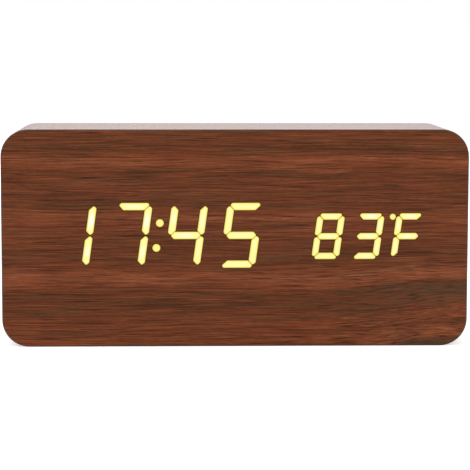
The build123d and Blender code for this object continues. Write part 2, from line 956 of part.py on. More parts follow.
def battery_cell(index):
    """Round cell with a nub at one end."""
    way = cell_way(index)
    z = cell_z(index)
    nub_end = bay_x + way * (bay_length / 2 - contact_thickness)
    shoulder = nub_end - way * cell_nub_height
    sleeve = RegularPolygon(cell_radius, round_sides)
    nub = RegularPolygon(cell_nub_radius, dot_sides)
    can = along_x(sleeve, shoulder, cell_y, z, way * (cell_nub_height - cell_length))
    return can + along_x(nub, shoulder, cell_y, z, way * cell_nub_height)


def contact_plate(end, first, last):
    """Plate that joins the ends of one or two cells, against an end wall of the bay."""
    wall = bay_x + end * bay_length / 2
    face = wall - end * contact_thickness
    half = contact_height / 2
    top = cell_z(first) + half
    low = cell_z(last) - half
    body = block(*sorted((wall, face)), cell_y - half, cell_y + half, low, top)
    for index in range(first, last + 1):
        if cell_way(index) != end:
            body += leaf_spring(end, face, cell_z(index))
    return body


def leaf_spring(end, face, z):
    """Folded strip that presses on the flat end of a cell."""
    half = contact_height / 2 - contact_inset
    thick = contact_thickness / 2
    root = face + end * thick
    reach = face - end * (leaf_reach - thick)
    points = [
        (root, cell_y + half, z),
        (reach, cell_y + half * (1 - leaf_fold_share), z),
        (reach, cell_y - half * (1 - leaf_fold_share), z),
        (face - end * contact_thickness, cell_y - half, z),
    ]
    return strip(points, leaf_width, contact_thickness, (0, 0, 1))


def tag(index):
    """Solder tag that passes the bay's wall at the end that takes the leads."""
    wall = bay_x - bay_length / 2
    half = tag_width / 2
    thick = contact_thickness / 2
    z = cell_z(index)
    return block(wall - bay_wall - tag_length, wall, cell_y - thick, cell_y + thick, z - half, z + half)


def lead_contacts():
    """Contacts at the end with the leads: one cell, two cells, one cell."""
    last = cell_count - 1
    return group([
        contact_plate(-1, 0, 0) + tag(0),
        contact_plate(-1, 1, last - 1),
        contact_plate(-1, last, last) + tag(last),
    ])


def far_contacts():
    """Contacts at the other end, which join the cells in pairs."""
    return group([contact_plate(1, 0, 1), contact_plate(1, cell_count - 2, cell_count - 1)])


def battery_lead(index, side):
    """Insulated lead from a solder tag to the button board."""
    wire_x = bay_x - bay_length / 2 - bay_wall - tag_length - wire_radius
    board_x = button_board_right - wire_inset_x
    board_z = middle_z + side * (button_board_height / 2 - wire_inset_z)
    start_z = cell_z(index)
    low_y = button_board_front_y - wire_standoff
    return wire([
        (wire_x, cell_y + wire_tail, start_z),
        (wire_x, low_y, start_z),
        (board_x, low_y, board_z),
        (board_x, button_board_front_y, board_z),
    ])


# Button board and what it carries

def button_board():
    """Board behind the cover, with four screw holes."""
    outline = Pos(button_board_x, middle_z) * Rectangle(button_board_length, button_board_height)
    hole = board_screw_radius + screw_gap
    body = slab(outline, button_board_front_y, button_board_y)
    for x, z in post_places():
        body -= pin(x, z, hole, button_board_front_y - overrun, button_board_y + overrun)
    return body


def button_board_screws():
    """Four screws through the button board into the cover's posts."""
    length = board_thickness + board_screw_bite
    return group(board_screw(x, z, button_board_front_y, -1, length) for x, z in post_places())


def switch_bodies():
    """Housings of the tactile switches, each with a well for its plunger."""
    solids = []
    for x in button_places():
        body = slab(Pos(x, button_z) * Rectangle(switch_side, switch_side), button_board_y, switch_y)
        body = chamfer(body.edges().filter_by(Axis.Y), length=switch_corner)
        well = plunger_radius + plunger_gap
        body -= pin(x, button_z, well, switch_y - plunger_sink - plunger_room, switch_y + overrun)
        solids.append(body)
    return group(solids)


def switch_plunger(index):
    """Plunger between a switch and its button."""
    return pin(button_places()[index], button_z, plunger_radius, switch_y - plunger_sink, flange_front_y)


def button(index):
    """Round button with an eased top edge, and a flange behind the cover."""
    x = button_places()[index]
    cap = pin(x, button_z, button_radius, flange_y, cover_y + button_proud, round_sides)
    cap = chamfer(cap.faces().sort_by(Axis.Y)[-1].edges(), length=button_edge)
    flange = Pos(x, button_z) * Rectangle(button_flange_side, button_flange_side)
    return cap + slab(flange, flange_front_y, flange_y)


def power_socket():
    """Socket for a round low-voltage plug, with its nose in the cover's hole."""
    nose_y = cover_y - socket_nose_set
    body_end = nose_y - socket_nose_length
    body = slab(Pos(socket_x, lower_z) * Rectangle(socket_width, socket_width), button_board_y, body_end)
    body += rod(socket_x, lower_z, socket_nose_radius, body_end, nose_y)
    return body - rod(socket_x, lower_z, socket_bore_radius, nose_y - socket_bore_depth, nose_y)


def socket_pin():
    """Centre pin of the power socket."""
    nose_y = cover_y - socket_nose_set
    return pin(socket_x, lower_z, socket_pin_radius, nose_y - socket_bore_depth, nose_y - socket_pin_set)


def alarm_buzzer():
    """Round buzzer with a small mouth towards the sound grille."""
    top = button_board_y + buzzer_height
    body = pin(buzzer_x, lower_z, buzzer_radius, button_board_y, top, can_sides)
    return body - pin(buzzer_x, lower_z, buzzer_mouth_radius, top - buzzer_mouth_depth, top)


def sound_sensor():
    """Small round sensor inside the cover's collar."""
    return pin(sensor_x, sensor_z, sensor_radius, button_board_y, button_board_y + sensor_height, dot_sides)


def temperature_sensor():
    """Bead on two leads behind the air slots."""
    centre_y = button_board_y + bead_height
    body = pin(bead_x, bead_z, bead_radius, centre_y - bead_radius, centre_y + bead_radius)
    half = bead_lead_width / 2
    for side in (-1, 1):
        left = bead_x + side * bead_lead_spread - half
        right = left + bead_lead_width
        body += block(left, right, button_board_y, centre_y, bead_z - half, bead_z + half)
    return body


def ribbon_plugs():
    """Plugs at both ends of the flat cable, one on each board."""
    outline = Rectangle(plug_length, plug_width)
    low = Pos(ribbon_x, display_z - plug_fall) * outline
    high = Pos(ribbon_x, display_z + plug_rise) * outline
    return group([
        slab(low, board_rear_y, board_rear_y + plug_height),
        slab(high, button_board_front_y - plug_height, button_board_front_y),
    ])


def ribbon_cable():
    """Flat cable with two bends between the plugs."""
    low_z = display_z - plug_fall
    high_z = display_z + plug_rise
    start_y = board_rear_y + plug_height
    end_y = button_board_front_y - plug_height
    half_y = (start_y + end_y) / 2
    points = [
        (ribbon_x, start_y, low_z),
        (ribbon_x, half_y, low_z),
        (ribbon_x, half_y, high_z),
        (ribbon_x, end_y, high_z),
    ]
    return strip(points, ribbon_width, ribbon_thickness, (1, 0, 0))


def all_nodes():
    """Every node by its name."""
    nodes = {
        "case_shell": case_shell(),
        "front_veneer": front_veneer(),
        "corner_blocks": corner_blocks(),
        "display_reflector": display_reflector(),
        "time_segment_guides": time_segment_guides(),
        "temperature_segment_guides": temperature_segment_guides(),
        "dot_guides": dot_guides(),
        "led_chips": led_chips(),
        "main_board": main_board(),
        "board_spacers": board_spacers(),
        "main_board_screws": main_board_screws(),
        "driver_chip": driver_chip(),
        "control_chip": control_chip(),
        "digit_transistors": digit_transistors(),
        "chip_resistors": chip_resistors(),
        "clock_crystal": clock_crystal(),
        "filter_capacitor": filter_capacitor(),
        "back_cover": back_cover(),
        "cover_screws": cover_screws(),
        "battery_door": battery_door(),
        "lead_contacts": lead_contacts(),
        "far_contacts": far_contacts(),
        "battery_lead_upper": battery_lead(0, 1),
        "battery_lead_lower": battery_lead(cell_count - 1, -1),
        "button_board": button_board(),
        "button_board_screws": button_board_screws(),
        "switch_bodies": switch_bodies(),
        "power_socket": power_socket(),
        "socket_pin": socket_pin(),
        "alarm_buzzer": alarm_buzzer(),
        "sound_sensor": sound_sensor(),
        "temperature_sensor": temperature_sensor(),
        "ribbon_plugs": ribbon_plugs(),
        "ribbon_cable": ribbon_cable(),
    }
    for name, solids in lit_nodes().items():
        nodes[name] = group(solids)
    for index in range(cell_count):
        nodes["battery_cell_" + str(index + 1)] = battery_cell(index)
    for index, name in enumerate(button_names):
        nodes[name + "_button"] = button(index)
        nodes[name + "_plunger"] = switch_plunger(index)
    return nodes


os.makedirs("parts", exist_ok=True)
for node_name, shape in all_nodes().items():
    export_step(shape, "parts/" + node_name + ".step")
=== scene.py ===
"""A desk clock with an LED display behind a wood film, dressed for its picture.

Lengths are in metres, and in millimetres where a docstring says so. The clock stands on its flat underside
with its face towards -Y, and +X is to the right. Each sub-assembly is a class that holds its sizes, builds
its meshes and dresses them.
"""

from __future__ import annotations

import logging
import math
from dataclasses import dataclass, field
from enum import Enum
from functools import reduce

import bmesh
import bpy
import numpy as np
from mathutils import Matrix, Vector

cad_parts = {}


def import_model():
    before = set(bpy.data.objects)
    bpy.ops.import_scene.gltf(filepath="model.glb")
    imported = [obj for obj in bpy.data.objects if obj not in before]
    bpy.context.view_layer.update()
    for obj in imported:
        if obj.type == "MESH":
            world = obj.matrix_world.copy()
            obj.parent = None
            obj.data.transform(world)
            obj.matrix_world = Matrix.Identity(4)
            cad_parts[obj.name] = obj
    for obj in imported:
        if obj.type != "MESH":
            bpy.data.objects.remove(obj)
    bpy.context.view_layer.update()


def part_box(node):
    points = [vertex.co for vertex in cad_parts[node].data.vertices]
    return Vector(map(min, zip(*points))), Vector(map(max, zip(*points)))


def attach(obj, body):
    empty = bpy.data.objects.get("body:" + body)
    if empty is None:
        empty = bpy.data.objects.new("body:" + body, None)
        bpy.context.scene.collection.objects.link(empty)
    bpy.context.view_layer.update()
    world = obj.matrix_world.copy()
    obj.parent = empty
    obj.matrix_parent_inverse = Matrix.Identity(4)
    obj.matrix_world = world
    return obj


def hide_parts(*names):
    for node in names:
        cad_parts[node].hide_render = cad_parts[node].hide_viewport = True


LOG = logging.getLogger("clock")
MM = 0.001
CLOCK = "clock"
MERGE_WITHIN = 1e-7
WELD_WITHIN = 1e-6
SMOOTH_BELOW = math.radians(30.0)
JOIN_BELOW = math.radians(1.0)
ROUND_ABOVE = math.radians(40.0)
ROUND_STEPS = 2

Colour = tuple[float, float, float]
Pair = tuple[float, float]
Point = tuple[float, float, float]
Array = np.ndarray
Socket = bpy.types.NodeSocket


def tint(red: int, green: int, blue: int) -> Colour:
    """Linear colour of a screen colour given in steps of 255.

    Args:
        red, green, blue: the screen colour's steps.

    Returns:
        The linear colour, by the usual curve: a straight foot, then a power of 2.4.
    """
    steps = np.array([red, green, blue]) / 255.0
    linear = np.where(steps <= 0.04045, steps / 12.92, ((steps + 0.055) / 1.055) ** 2.4)
    return (float(linear[0]), float(linear[1]), float(linear[2]))


class Along(Enum):
    """Axis of an object that a pattern is drawn out along."""

    X = "X"
    Y = "Y"
    Z = "Z"


# Shader graphs


class Graph:
    """Adds nodes to one tree and links them, a line for each step."""

    def __init__(self, tree: bpy.types.NodeTree) -> None:
        """Keeps the tree that the nodes go into."""
        self.tree = tree

    def feed(self, value: object, socket: Socket) -> None:
        """Links an output to a socket, or sets the socket to a number or colour.

        Args:
            value: the output, number or colour.
            socket: the socket.
        """
        if isinstance(value, bpy.types.NodeSocket):
            self.tree.links.new(value, socket)
        else:
            socket.default_value = value

    def add(self, kind: str, *values: object, **settings: object) -> bpy.types.Node:
        """A new node of a kind, with its settings, fed with values.

        Args:
            kind: the node's type name.
            values: what its first inputs are fed, in their order.
            settings: values of the node's own properties.

        Returns:
            The node.
        """
        node = self.tree.nodes.new(kind)
        for name, value in settings.items():
            setattr(node, name, value)
        for value, socket in zip(values, node.inputs):
            self.feed(value, socket)
        return node

    def feed_named(self, node: bpy.types.Node, values: dict[str | int, object]) -> bpy.types.Node:
        """Feeds some of a node's inputs.

        Args:
            node: the node.
            values: what its inputs are fed, by their names or numbers.

        Returns:
            The node.
        """
        for key, value in values.items():
            self.feed(value, node.inputs[key])
        return node

    def found(self, kind: str) -> bpy.types.Node:
        """The tree's first node of a type."""
        return next(node for node in self.tree.nodes if node.type == kind)

    def math(self, operation: str, *values: object) -> Socket:
        """Result of a math step on up to three values."""
        return self.add("ShaderNodeMath", *values, operation=operation).outputs[0]

    def plus(self, *values: object) -> Socket:
        """Sum of values."""
        return reduce(lambda first, second: self.math("ADD", first, second), values)

    def times(self, *values: object) -> Socket:
        """Product of values."""
        return reduce(lambda first, second: self.math("MULTIPLY", first, second), values)

    def most(self, *values: object) -> Socket:
        """Largest of values."""
        return reduce(lambda first, second: self.math("MAXIMUM", first, second), values)

    def minus(self, first: object, second: object) -> Socket:
        """A value less another."""
        return self.math("SUBTRACT", first, second)

    def over(self, first: object, second: object) -> Socket:
        """A value divided by another."""
        return self.math("DIVIDE", first, second)

    def size(self, value: object) -> Socket:
        """A value without its sign."""
        return self.math("ABSOLUTE", value)

    def span(
        self, value: object, ends: tuple, start: float = 0.0, end: float = 1.0, smooth: bool = True
    ) -> Socket:
        """A value mapped from between two ends onto start to end, held at both, and eased where smooth."""
        ease = "SMOOTHSTEP" if smooth else "LINEAR"
        return self.add("ShaderNodeMapRange", value, *ends, start, end, interpolation_type=ease).outputs[0]

    def join(self, x: object, y: object, z: object = 0.0) -> Socket:
        """A vector of three values."""
        return self.add("ShaderNodeCombineXYZ", x, y, z).outputs[0]

    def split(self, vector: object) -> list[Socket]:
        """The three values of a vector."""
        return list(self.add("ShaderNodeSeparateXYZ", vector).outputs)

    def scaled(self, vector: object, *scales: float) -> Socket:
        """A vector stretched along each axis."""
        return self.add("ShaderNodeVectorMath", vector, scales, operation="MULTIPLY").outputs[0]

    def noise(self, vector: object, scale: object, detail: float = 2.0, rough: float = 0.5) -> Socket:
        """Soft noise from 0 to 1 at a place, with a few finer layers that each count less than the last."""
        values = {"Vector": vector, "Scale": scale, "Detail": detail, "Roughness": rough}
        return self.feed_named(self.add("ShaderNodeTexNoise"), values).outputs[0]

    def ramp(self, value: object, stops: tuple[tuple[float, Colour], ...]) -> Socket:
        """Colour read from a ramp.

        Args:
            value: where on the ramp to read, from 0 to 1.
            stops: places on the ramp with their colours, lowest first.

        Returns:
            The colour.
        """
        node = self.add("ShaderNodeValToRGB", value)
        elements = node.color_ramp.elements
        while len(elements) < len(stops):
            elements.new(0.5)
        for element, (place, colour) in zip(elements, stops):
            element.position = place
            element.color = (*colour, 1.0)
        return node.outputs[0]

    def curve(self, value: object, points: tuple[Pair, ...]) -> Socket:
        """A value read from a smooth curve.

        Args:
            value: where to read.
            points: places with the curve's values there, lowest place first. The curve is held past them.

        Returns:
            The curve's value.
        """
        lowest, highest = points[0][0], points[-1][0]
        node = self.add("ShaderNodeFloatCurve")
        curve = node.mapping.curves[0]
        while len(curve.points) < len(points):
            curve.points.new(0.5, 0.5)
        for point, (place, height) in zip(curve.points, points):
            point.location = ((place - lowest) / (highest - lowest), height)
        node.mapping.update()
        self.feed_named(node, {"Value": self.span(value, (lowest, highest), smooth=False)})
        return node.outputs[0]

    def blend(self, share: object, first: object, second: object) -> Socket:
        """Two colours blended by a share.

        Args:
            share: how much of the second one shows.
            first, second: the colours, or what puts them out.

        Returns:
            The blend.
        """
        colours = [(*value, 1.0) if isinstance(value, tuple) else value for value in (first, second)]
        node = self.add("ShaderNodeMix", share, data_type="RGBA")
        return self.feed_named(node, {6: colours[0], 7: colours[1]}).outputs[2]

    def place(self) -> Socket:
        """The object's own coordinates."""
        return self.add("ShaderNodeTexCoord").outputs["Object"]

    def attribute(self, name: str) -> Socket:
        """Value of one of the mesh's own attributes."""
        return self.add("ShaderNodeAttribute", attribute_name=name).outputs["Fac"]


class GroupGraph(Graph):
    """Graph of a new shader node group with named sockets."""

    def __init__(self, name: str, inputs: dict[str, str], outputs: dict[str, str]) -> None:
        """Makes the group and its sockets.

        Args:
            name: the group's name.
            inputs: socket names and their kinds, Float, Vector or Color.
            outputs: the same for what the group puts out.
        """
        super().__init__(bpy.data.node_groups.new(name, "ShaderNodeTree"))
        for way, sockets in (("INPUT", inputs), ("OUTPUT", outputs)):
            for label, kind in sockets.items():
                self.tree.interface.new_socket(label, in_out=way, socket_type="NodeSocket" + kind)
        self.given = list(self.add("NodeGroupInput").outputs)

    def close(self, *values: object) -> bpy.types.NodeTree:
        """Feeds the group's outputs, and hands over the group."""
        self.add("NodeGroupOutput", *values)
        return self.tree


@dataclass(frozen=True)
class Streaks:
    """A layer of streaks.

    Attributes:
        along, across: how often it changes along and across the grain, per millimetre.
        strength: how far it goes from its lowest to its highest.
        seed: which slice of the noise it reads.
        detail: how many finer layers the noise has.
    """

    along: float
    across: float
    strength: float
    seed: float
    detail: float = 2.0

    def draw(self, graph: Graph, along: Socket, level: Socket) -> Socket:
        """Noise around zero, drawn out along the grain, at the layer's strength."""
        place = graph.join(graph.times(along, self.along), graph.times(level, self.across), self.seed)
        return graph.times(graph.minus(graph.noise(place, 1.0, self.detail), 0.5), self.strength)


@dataclass(frozen=True)
class GrainPlace:
    """Where a point lies in the wood print, in millimetres.

    Attributes:
        along: how far along the grain.
        run: the same, stretched where there are eddies, for the fibres.
        level: how far across the growth bands.
        thread: how far across the fibres, which follow the bands' bends in part.
        swirl: how much of an eddy there is, from 0 to 1.
    """

    along: Socket
    run: Socket
    level: Socket
    thread: Socket
    swirl: Socket


@dataclass(frozen=True)
class GrainGroup:
    """Walnut print: growth bands, fibre streaks and pores, drawn out along the grain.

    The print reads a place along and across the grain in metres. Growth bands lie at set heights, and
    bend with a slow wave, with a rise that the material asks for, and with eddies where it asks for them.
    The fibres follow the bands' bends in part, and are shorter where there are eddies. The bands are
    heights in millimetres with their tones.
    """

    bands: tuple[Pair, ...] = (
        (-8.0, 0.20), (-4.0, 0.22), (-2.0, 0.40), (0.0, 0.60), (2.0, 0.62), (4.0, 0.50), (6.0, 0.56),
        (9.0, 0.46), (12.0, 0.38), (15.5, 0.32), (18.0, 0.42), (20.0, 0.64), (22.0, 0.72), (24.0, 0.60),
        (26.5, 0.44), (30.0, 0.36), (33.0, 0.38), (37.0, 0.48), (40.0, 0.52), (41.6, 0.68), (43.4, 0.48),
        (46.0, 0.36), (51.0, 0.39), (55.5, 0.40), (58.0, 0.54), (60.0, 0.66), (61.6, 0.52), (64.0, 0.32),
        (67.0, 0.40), (70.0, 0.26),
    )
    wave: Streaks = Streaks(0.02, 0.05, 3.2, seed=0.0)
    eddies: Streaks = Streaks(0.05, 0.09, 4.4, seed=3.0, detail=0.0)
    layers: tuple[Streaks, ...] = (Streaks(0.016, 0.42, 0.45, seed=0.0), Streaks(0.05, 1.3, 0.5, seed=1.0))
    fibres: Streaks = Streaks(0.055, 2.7, 1.0, seed=2.0)
    flecks: Streaks = Streaks(0.4, 3.4, 0.6, seed=11.0)
    pores: Streaks = Streaks(0.075, 3.6, 0.75, seed=5.0)
    lines: Streaks = Streaks(0.02, 0.9, 1.0, seed=7.0, detail=1.0)
    hue: Streaks = Streaks(0.03, 0.5, 0.25, seed=9.0)
    fibre_bend: float = 0.55
    fibre_cut: float = 1.0
    eddy_contrast: float = 1.0
    dark_pores: Pair = (-0.045, -0.1)
    pore_darkness: float = 0.6
    pale_pores: Pair = (0.05, 0.12)
    pore_paleness: float = 0.24
    pore_height: float = 0.6
    line_width: Pair = (0.05, 0.015)
    line_darkness: float = 0.4
    hue_reach: float = 0.05
    wine_share: float = 0.4
    ash_share: float = 0.25
    ashen_tones: Pair = (0.55, 0.25)
    ashen_share: float = 0.1
    ashen_eddies: float = 0.5
    palette: tuple[tuple[float, Colour], ...] = (
        (0.0, tint(64, 35, 16)),
        (0.25, tint(92, 50, 25)),
        (0.5, tint(115, 60, 34)),
        (0.75, tint(132, 70, 41)),
        (1.0, tint(151, 90, 60)),
    )
    dark: Colour = tint(58, 32, 17)
    wine: Colour = tint(112, 48, 32)
    ash: Colour = tint(94, 72, 51)

    def build(self) -> bpy.types.NodeTree:
        """Builds the group.

        Returns:
            The group, which puts out a colour, a height and a tone.
        """
        inputs = dict.fromkeys(("Along", "Across", "Rise", "Swirl"), "Float")
        graph = GroupGraph("Wood grain", inputs, {"Color": "Color", "Height": "Float", "Tone": "Float"})
        place = self.bent(graph, *graph.given[:4])
        pores = self.pores.draw(graph, place.run, place.thread)
        line = graph.size(self.lines.draw(graph, place.run, place.thread))
        dark = graph.times(graph.span(pores, self.dark_pores), self.pore_darkness)
        dark = graph.plus(dark, graph.span(line, self.line_width, 0.0, self.line_darkness))
        tone = self.tone(graph, place, pores)
        height = graph.minus(graph.times(pores, self.pore_height), dark)
        return graph.close(self.colour(graph, place, tone, dark), height, tone)

    def bent(self, graph: Graph, along: Socket, across: Socket, rise: Socket, swirl: Socket) -> GrainPlace:
        """Place in the print, whose level is the one across the grain after the wave, rise and eddies.

        Args:
            graph: the group's graph.
            along, across: place along and across the grain, in metres.
            rise: how far the bands are bent up there, in metres.
            swirl: how much of an eddy there is.

        Returns:
            The place.
        """
        along, across, rise = (graph.over(value, MM) for value in (along, across, rise))
        drift = self.wave.draw(graph, along, across)
        turn = graph.times(self.eddies.draw(graph, along, across), swirl)
        level = graph.plus(graph.minus(across, rise), drift, turn)
        thread = graph.plus(across, graph.times(graph.minus(level, across), self.fibre_bend))
        run = graph.times(along, graph.plus(1.0, graph.times(swirl, self.fibre_cut)))
        return GrainPlace(along, run, level, thread, swirl)

    def tone(self, graph: Graph, place: GrainPlace, pores: Socket) -> Socket:
        """Tone of the print: the growth band's, plus the streaks' and the pale pores'.

        Args:
            graph: the group's graph.
            place: the place in the print.
            pores: the pores' noise there.

        Returns:
            The tone, from 0, dark, to 1, pale.
        """
        contrast = graph.plus(1.0, graph.times(place.swirl, self.eddy_contrast))
        band = graph.times(graph.minus(graph.curve(place.level, self.bands), 0.5), contrast)
        layers = [layer.draw(graph, place.along, place.level) for layer in self.layers]
        fibres = self.fibres.draw(graph, place.run, place.thread)
        flecks = self.flecks.draw(graph, place.along, place.thread)
        pale = graph.span(pores, self.pale_pores, 0.0, self.pore_paleness)
        return graph.plus(0.5, band, *layers, fibres, flecks, pale)

    def colour(self, graph: Graph, place: GrainPlace, tone: Socket, dark: Socket) -> Socket:
        """Colour of the print: the tone's, tinted by wine red and ash patches, under the dark fibres.

        Args:
            graph: the group's graph.
            place: the place in the print.
            tone: the tone there.
            dark: how much of a dark pore or line lies there.

        Returns:
            The colour.
        """
        colour = graph.ramp(tone, self.palette)
        hue = self.hue.draw(graph, place.along, place.level)
        colour = graph.blend(graph.span(hue, (0.0, self.hue_reach), 0.0, self.wine_share), colour, self.wine)
        colour = graph.blend(graph.span(hue, (0.0, -self.hue_reach), 0.0, self.ash_share), colour, self.ash)
        ashen = graph.plus(self.ashen_share, graph.times(place.swirl, self.ashen_eddies))
        ashen = graph.times(graph.span(tone, self.ashen_tones), ashen)
        return graph.blend(dark, graph.blend(ashen, colour, self.ash), self.dark)


@dataclass(frozen=True)
class PatternGroup:
    """A fine noise over a broad one, read from a vector and the size of its grain.

    Attributes:
        name: the group's name.
        share: how much of the shade is the fine noise's.
        broad: how often the broad noise changes, as a share of how often the fine one does.
        fine_detail, broad_detail: how many finer layers each noise has.
        rough: how much each finer layer of the fine noise counts.
    """

    name: str
    share: float
    broad: float
    fine_detail: float = 2.0
    broad_detail: float = 2.0
    rough: float = 0.5

    def build(self) -> bpy.types.NodeTree:
        """Builds the group.

        Returns:
            The group, which puts out a shade around 0.5 and the fine noise's height.
        """
        inputs, outputs = {"Vector": "Vector", "Grain": "Float"}, {"Shade": "Float", "Height": "Float"}
        graph = GroupGraph(self.name, inputs, outputs)
        vector, grain = graph.given[:2]
        scale = graph.over(1.0, grain)
        fine = graph.noise(vector, scale, self.fine_detail, self.rough)
        broad = graph.noise(vector, graph.times(scale, self.broad), self.broad_detail)
        shade = graph.plus(graph.times(fine, self.share), graph.times(broad, 1 - self.share))
        return graph.close(shade, fine)


class Groups:
    """The shader groups, each built once."""

    def __init__(self) -> None:
        """Builds the wood's grain, a mottle that is the same in every direction, and drawn lines."""
        self.grain = GrainGroup().build()
        self.mottle = PatternGroup("Fine mottle", 0.4, 0.04, broad_detail=3.0).build()
        self.brush = PatternGroup("Drawn lines", 0.5, 0.08, fine_detail=3.0, rough=0.6).build()


# Finishes


@dataclass(frozen=True)
class Finish:
    """A colour that a fine pattern makes darker and lighter, with the pattern's relief.

    Attributes:
        name, colour, roughness: what it is called, and how it looks without its pattern.
        metallic, sheen: the shader's metallic share and its specular level.
        grain: size of the pattern.
        spread: how much darker and lighter than its colour the pattern goes, as a share.
        uneven: how far below and above its roughness the pattern goes.
        depth, strength: how deep the pattern's relief is, and how much of it shows.
    """

    name: str
    colour: Colour
    roughness: float
    metallic: float = 0.0
    sheen: float = 0.5
    grain: float = 0.4 * MM
    spread: float = 0.12
    uneven: float = 0.05
    depth: float = 0.01 * MM
    strength: float = 0.3

    def pattern(self, coat: Coat) -> list[Socket]:
        """Shade and height of the pattern: a fine mottle on the object's own coordinates."""
        return coat.group(coat.groups.mottle, coat.graph.place(), self.grain)

    def colours(self, coat: Coat, plain: Socket) -> Socket:
        """What the surface shows where the pattern alone gives the plain colour."""
        return plain

    def paint(self, coat: Coat) -> None:
        """Puts the pattern on a material."""
        shade, height = self.pattern(coat)
        coat.cover(self.colours(coat, coat.shaded(shade)), shade, height)


class Coat:
    """A finish's material in the making: its graph, its Principled shader and the shared groups."""

    shades: Pair = (0.3, 0.7)

    def __init__(self, finish: Finish, groups: Groups) -> None:
        """Makes the material, with its shader set to the finish's plain values.

        Args:
            finish: the finish.
            groups: the shared shader groups.
        """
        self.finish = finish
        self.groups = groups
        self.material = bpy.data.materials.new(finish.name)
        self.material.use_nodes = True
        self.graph = Graph(self.material.node_tree)
        self.shader = self.graph.found("BSDF_PRINCIPLED")
        self.put({"Base Color": (*finish.colour, 1.0), "Roughness": finish.roughness})
        self.put({"Metallic": finish.metallic, "Specular IOR Level": finish.sheen})

    def put(self, values: dict[str | int, object]) -> None:
        """Sets or links sockets of the shader, by their names."""
        self.graph.feed_named(self.shader, values)

    def group(self, tree: bpy.types.NodeTree, *values: object) -> list[Socket]:
        """Outputs of a shared group placed in the material, fed with values."""
        return list(self.graph.add("ShaderNodeGroup", *values, node_tree=tree).outputs)

    def shaded(self, shade: Socket) -> Socket:
        """The finish's colour made darker and lighter by a shade around 0.5."""
        ends = [tuple(np.multiply(self.finish.colour, 1 + way * self.finish.spread)) for way in (-1, 1)]
        return self.graph.blend(self.graph.span(shade, self.shades, smooth=False), *ends)

    def cover(self, colour: Socket, shade: Socket, height: Socket) -> None:
        """Feeds the shader a colour, a roughness and a relief.

        Args:
            colour: the colour.
            shade: what takes the roughness from a little under to a little over the finish's own, unless
                the finish is even.
            height: the relief's height, in units of the finish's depth.
        """
        finish, graph = self.finish, self.graph
        values = {"Strength": finish.strength, "Distance": finish.depth, "Height": height}
        bump = graph.feed_named(graph.add("ShaderNodeBump"), values)
        self.put({"Base Color": colour, "Normal": bump.outputs[0]})
        if finish.uneven:
            ends = finish.roughness - finish.uneven, finish.roughness + finish.uneven
            self.put({"Roughness": graph.span(shade, self.shades, *ends, smooth=False)})


@dataclass(frozen=True)
class WoodFront(Finish):
    """Matt film of the face: grain along X, bands by height, bent upwards at the lower right.

    The film's eased rim carries painted shade, a little darker, and a real coat that makes it glossier.
    The pairs say where the climb, the eddies and the rim set in, and where they are full. Climb and eddies
    are full near the hump's height, within a share of its reach, and gone beyond the reach.
    """

    sheen: float = 0.1
    depth: float = 0.03 * MM
    climb: float = 5.4 * MM
    climb_x: Pair = (26.0 * MM, 80.0 * MM)
    eddies_x: Pair = (10.4 * MM, 80.0 * MM)
    hump_z: float = 8.0 * MM
    hump_reach: float = 25.0 * MM
    hump_flat: float = 0.25
    # Painted shade: the eased rim is blended towards this dark colour, standing in for the shade of the
    # chamfer.
    rim: Colour = tint(76, 50, 38)
    rim_y: Pair = (-22.47 * MM, -22.3 * MM)
    rim_share: float = 0.75
    rim_roughness: float = 0.2

    def paint(self, coat: Coat) -> None:
        """Puts the print on a material, and over it the rim's painted shade and its real gloss.

        Args:
            coat: the material.
        """
        graph = coat.graph
        x, y, z = graph.split(graph.place())
        offset = graph.over(graph.minus(z, self.hump_z), self.hump_reach)
        hump = graph.span(graph.size(offset), (1.0, self.hump_flat))
        climb = graph.times(graph.span(x, self.climb_x), hump, self.climb)
        eddies = graph.times(graph.span(x, self.eddies_x), hump)
        colour, height, tone = coat.group(coat.groups.grain, x, z, climb, eddies)
        edge = graph.span(y, self.rim_y)
        # Painted shade darkens the eased rim; the coat weight there is a real gloss.
        coat.cover(graph.blend(graph.times(edge, self.rim_share), colour, self.rim), tone, height)
        coat.put({"Coat Weight": edge, "Coat Roughness": self.rim_roughness})


@dataclass(frozen=True)
class WoodWrap(Finish):
    """Satin film round the case: grain round the box, with a pale painted highlight where it meets the face.

    The grain reads the piece's own map, which holds the way round the case and the way back.
    """

    uneven: float = 0.03
    strength: float = 0.1
    shift: float = 9.0 * MM
    calm: float = 0.5
    # Painted highlight: near the face the film is blended towards this pale colour, in place of light on the
    # front edge.
    pale: Colour = tint(206, 138, 96)
    pale_depth: float = 4.0 * MM
    paleness: float = 0.5

    def paint(self, coat: Coat) -> None:
        """Puts the print on a material, calmed by the film's own colour, and a painted highlight near the
        face.

        Args:
            coat: the material.
        """
        graph = coat.graph
        flow = graph.add("ShaderNodeUVMap", uv_map="wrap")
        around, back, _ = graph.split(flow.outputs[0])
        colour, height, tone = coat.group(coat.groups.grain, around, graph.plus(back, self.shift), 0.0, 0.0)
        # Painted highlight: the film turns paler within a few millimetres of the face, standing in for light
        # on the front edge.
        painted_highlight = graph.span(back, (self.pale_depth, 0.0), 0.0, self.paleness)
        colour = graph.blend(painted_highlight, graph.blend(self.calm, colour, self.colour), self.pale)
        coat.cover(colour, tone, height)


@dataclass(frozen=True)
class Moulded(Finish):
    """Moulded plastic, nylon, epoxy or rubber with a fine even texture."""

    grain: float = 0.25 * MM
    uneven: float = 0.06
    depth: float = 0.02 * MM
    strength: float = 0.5


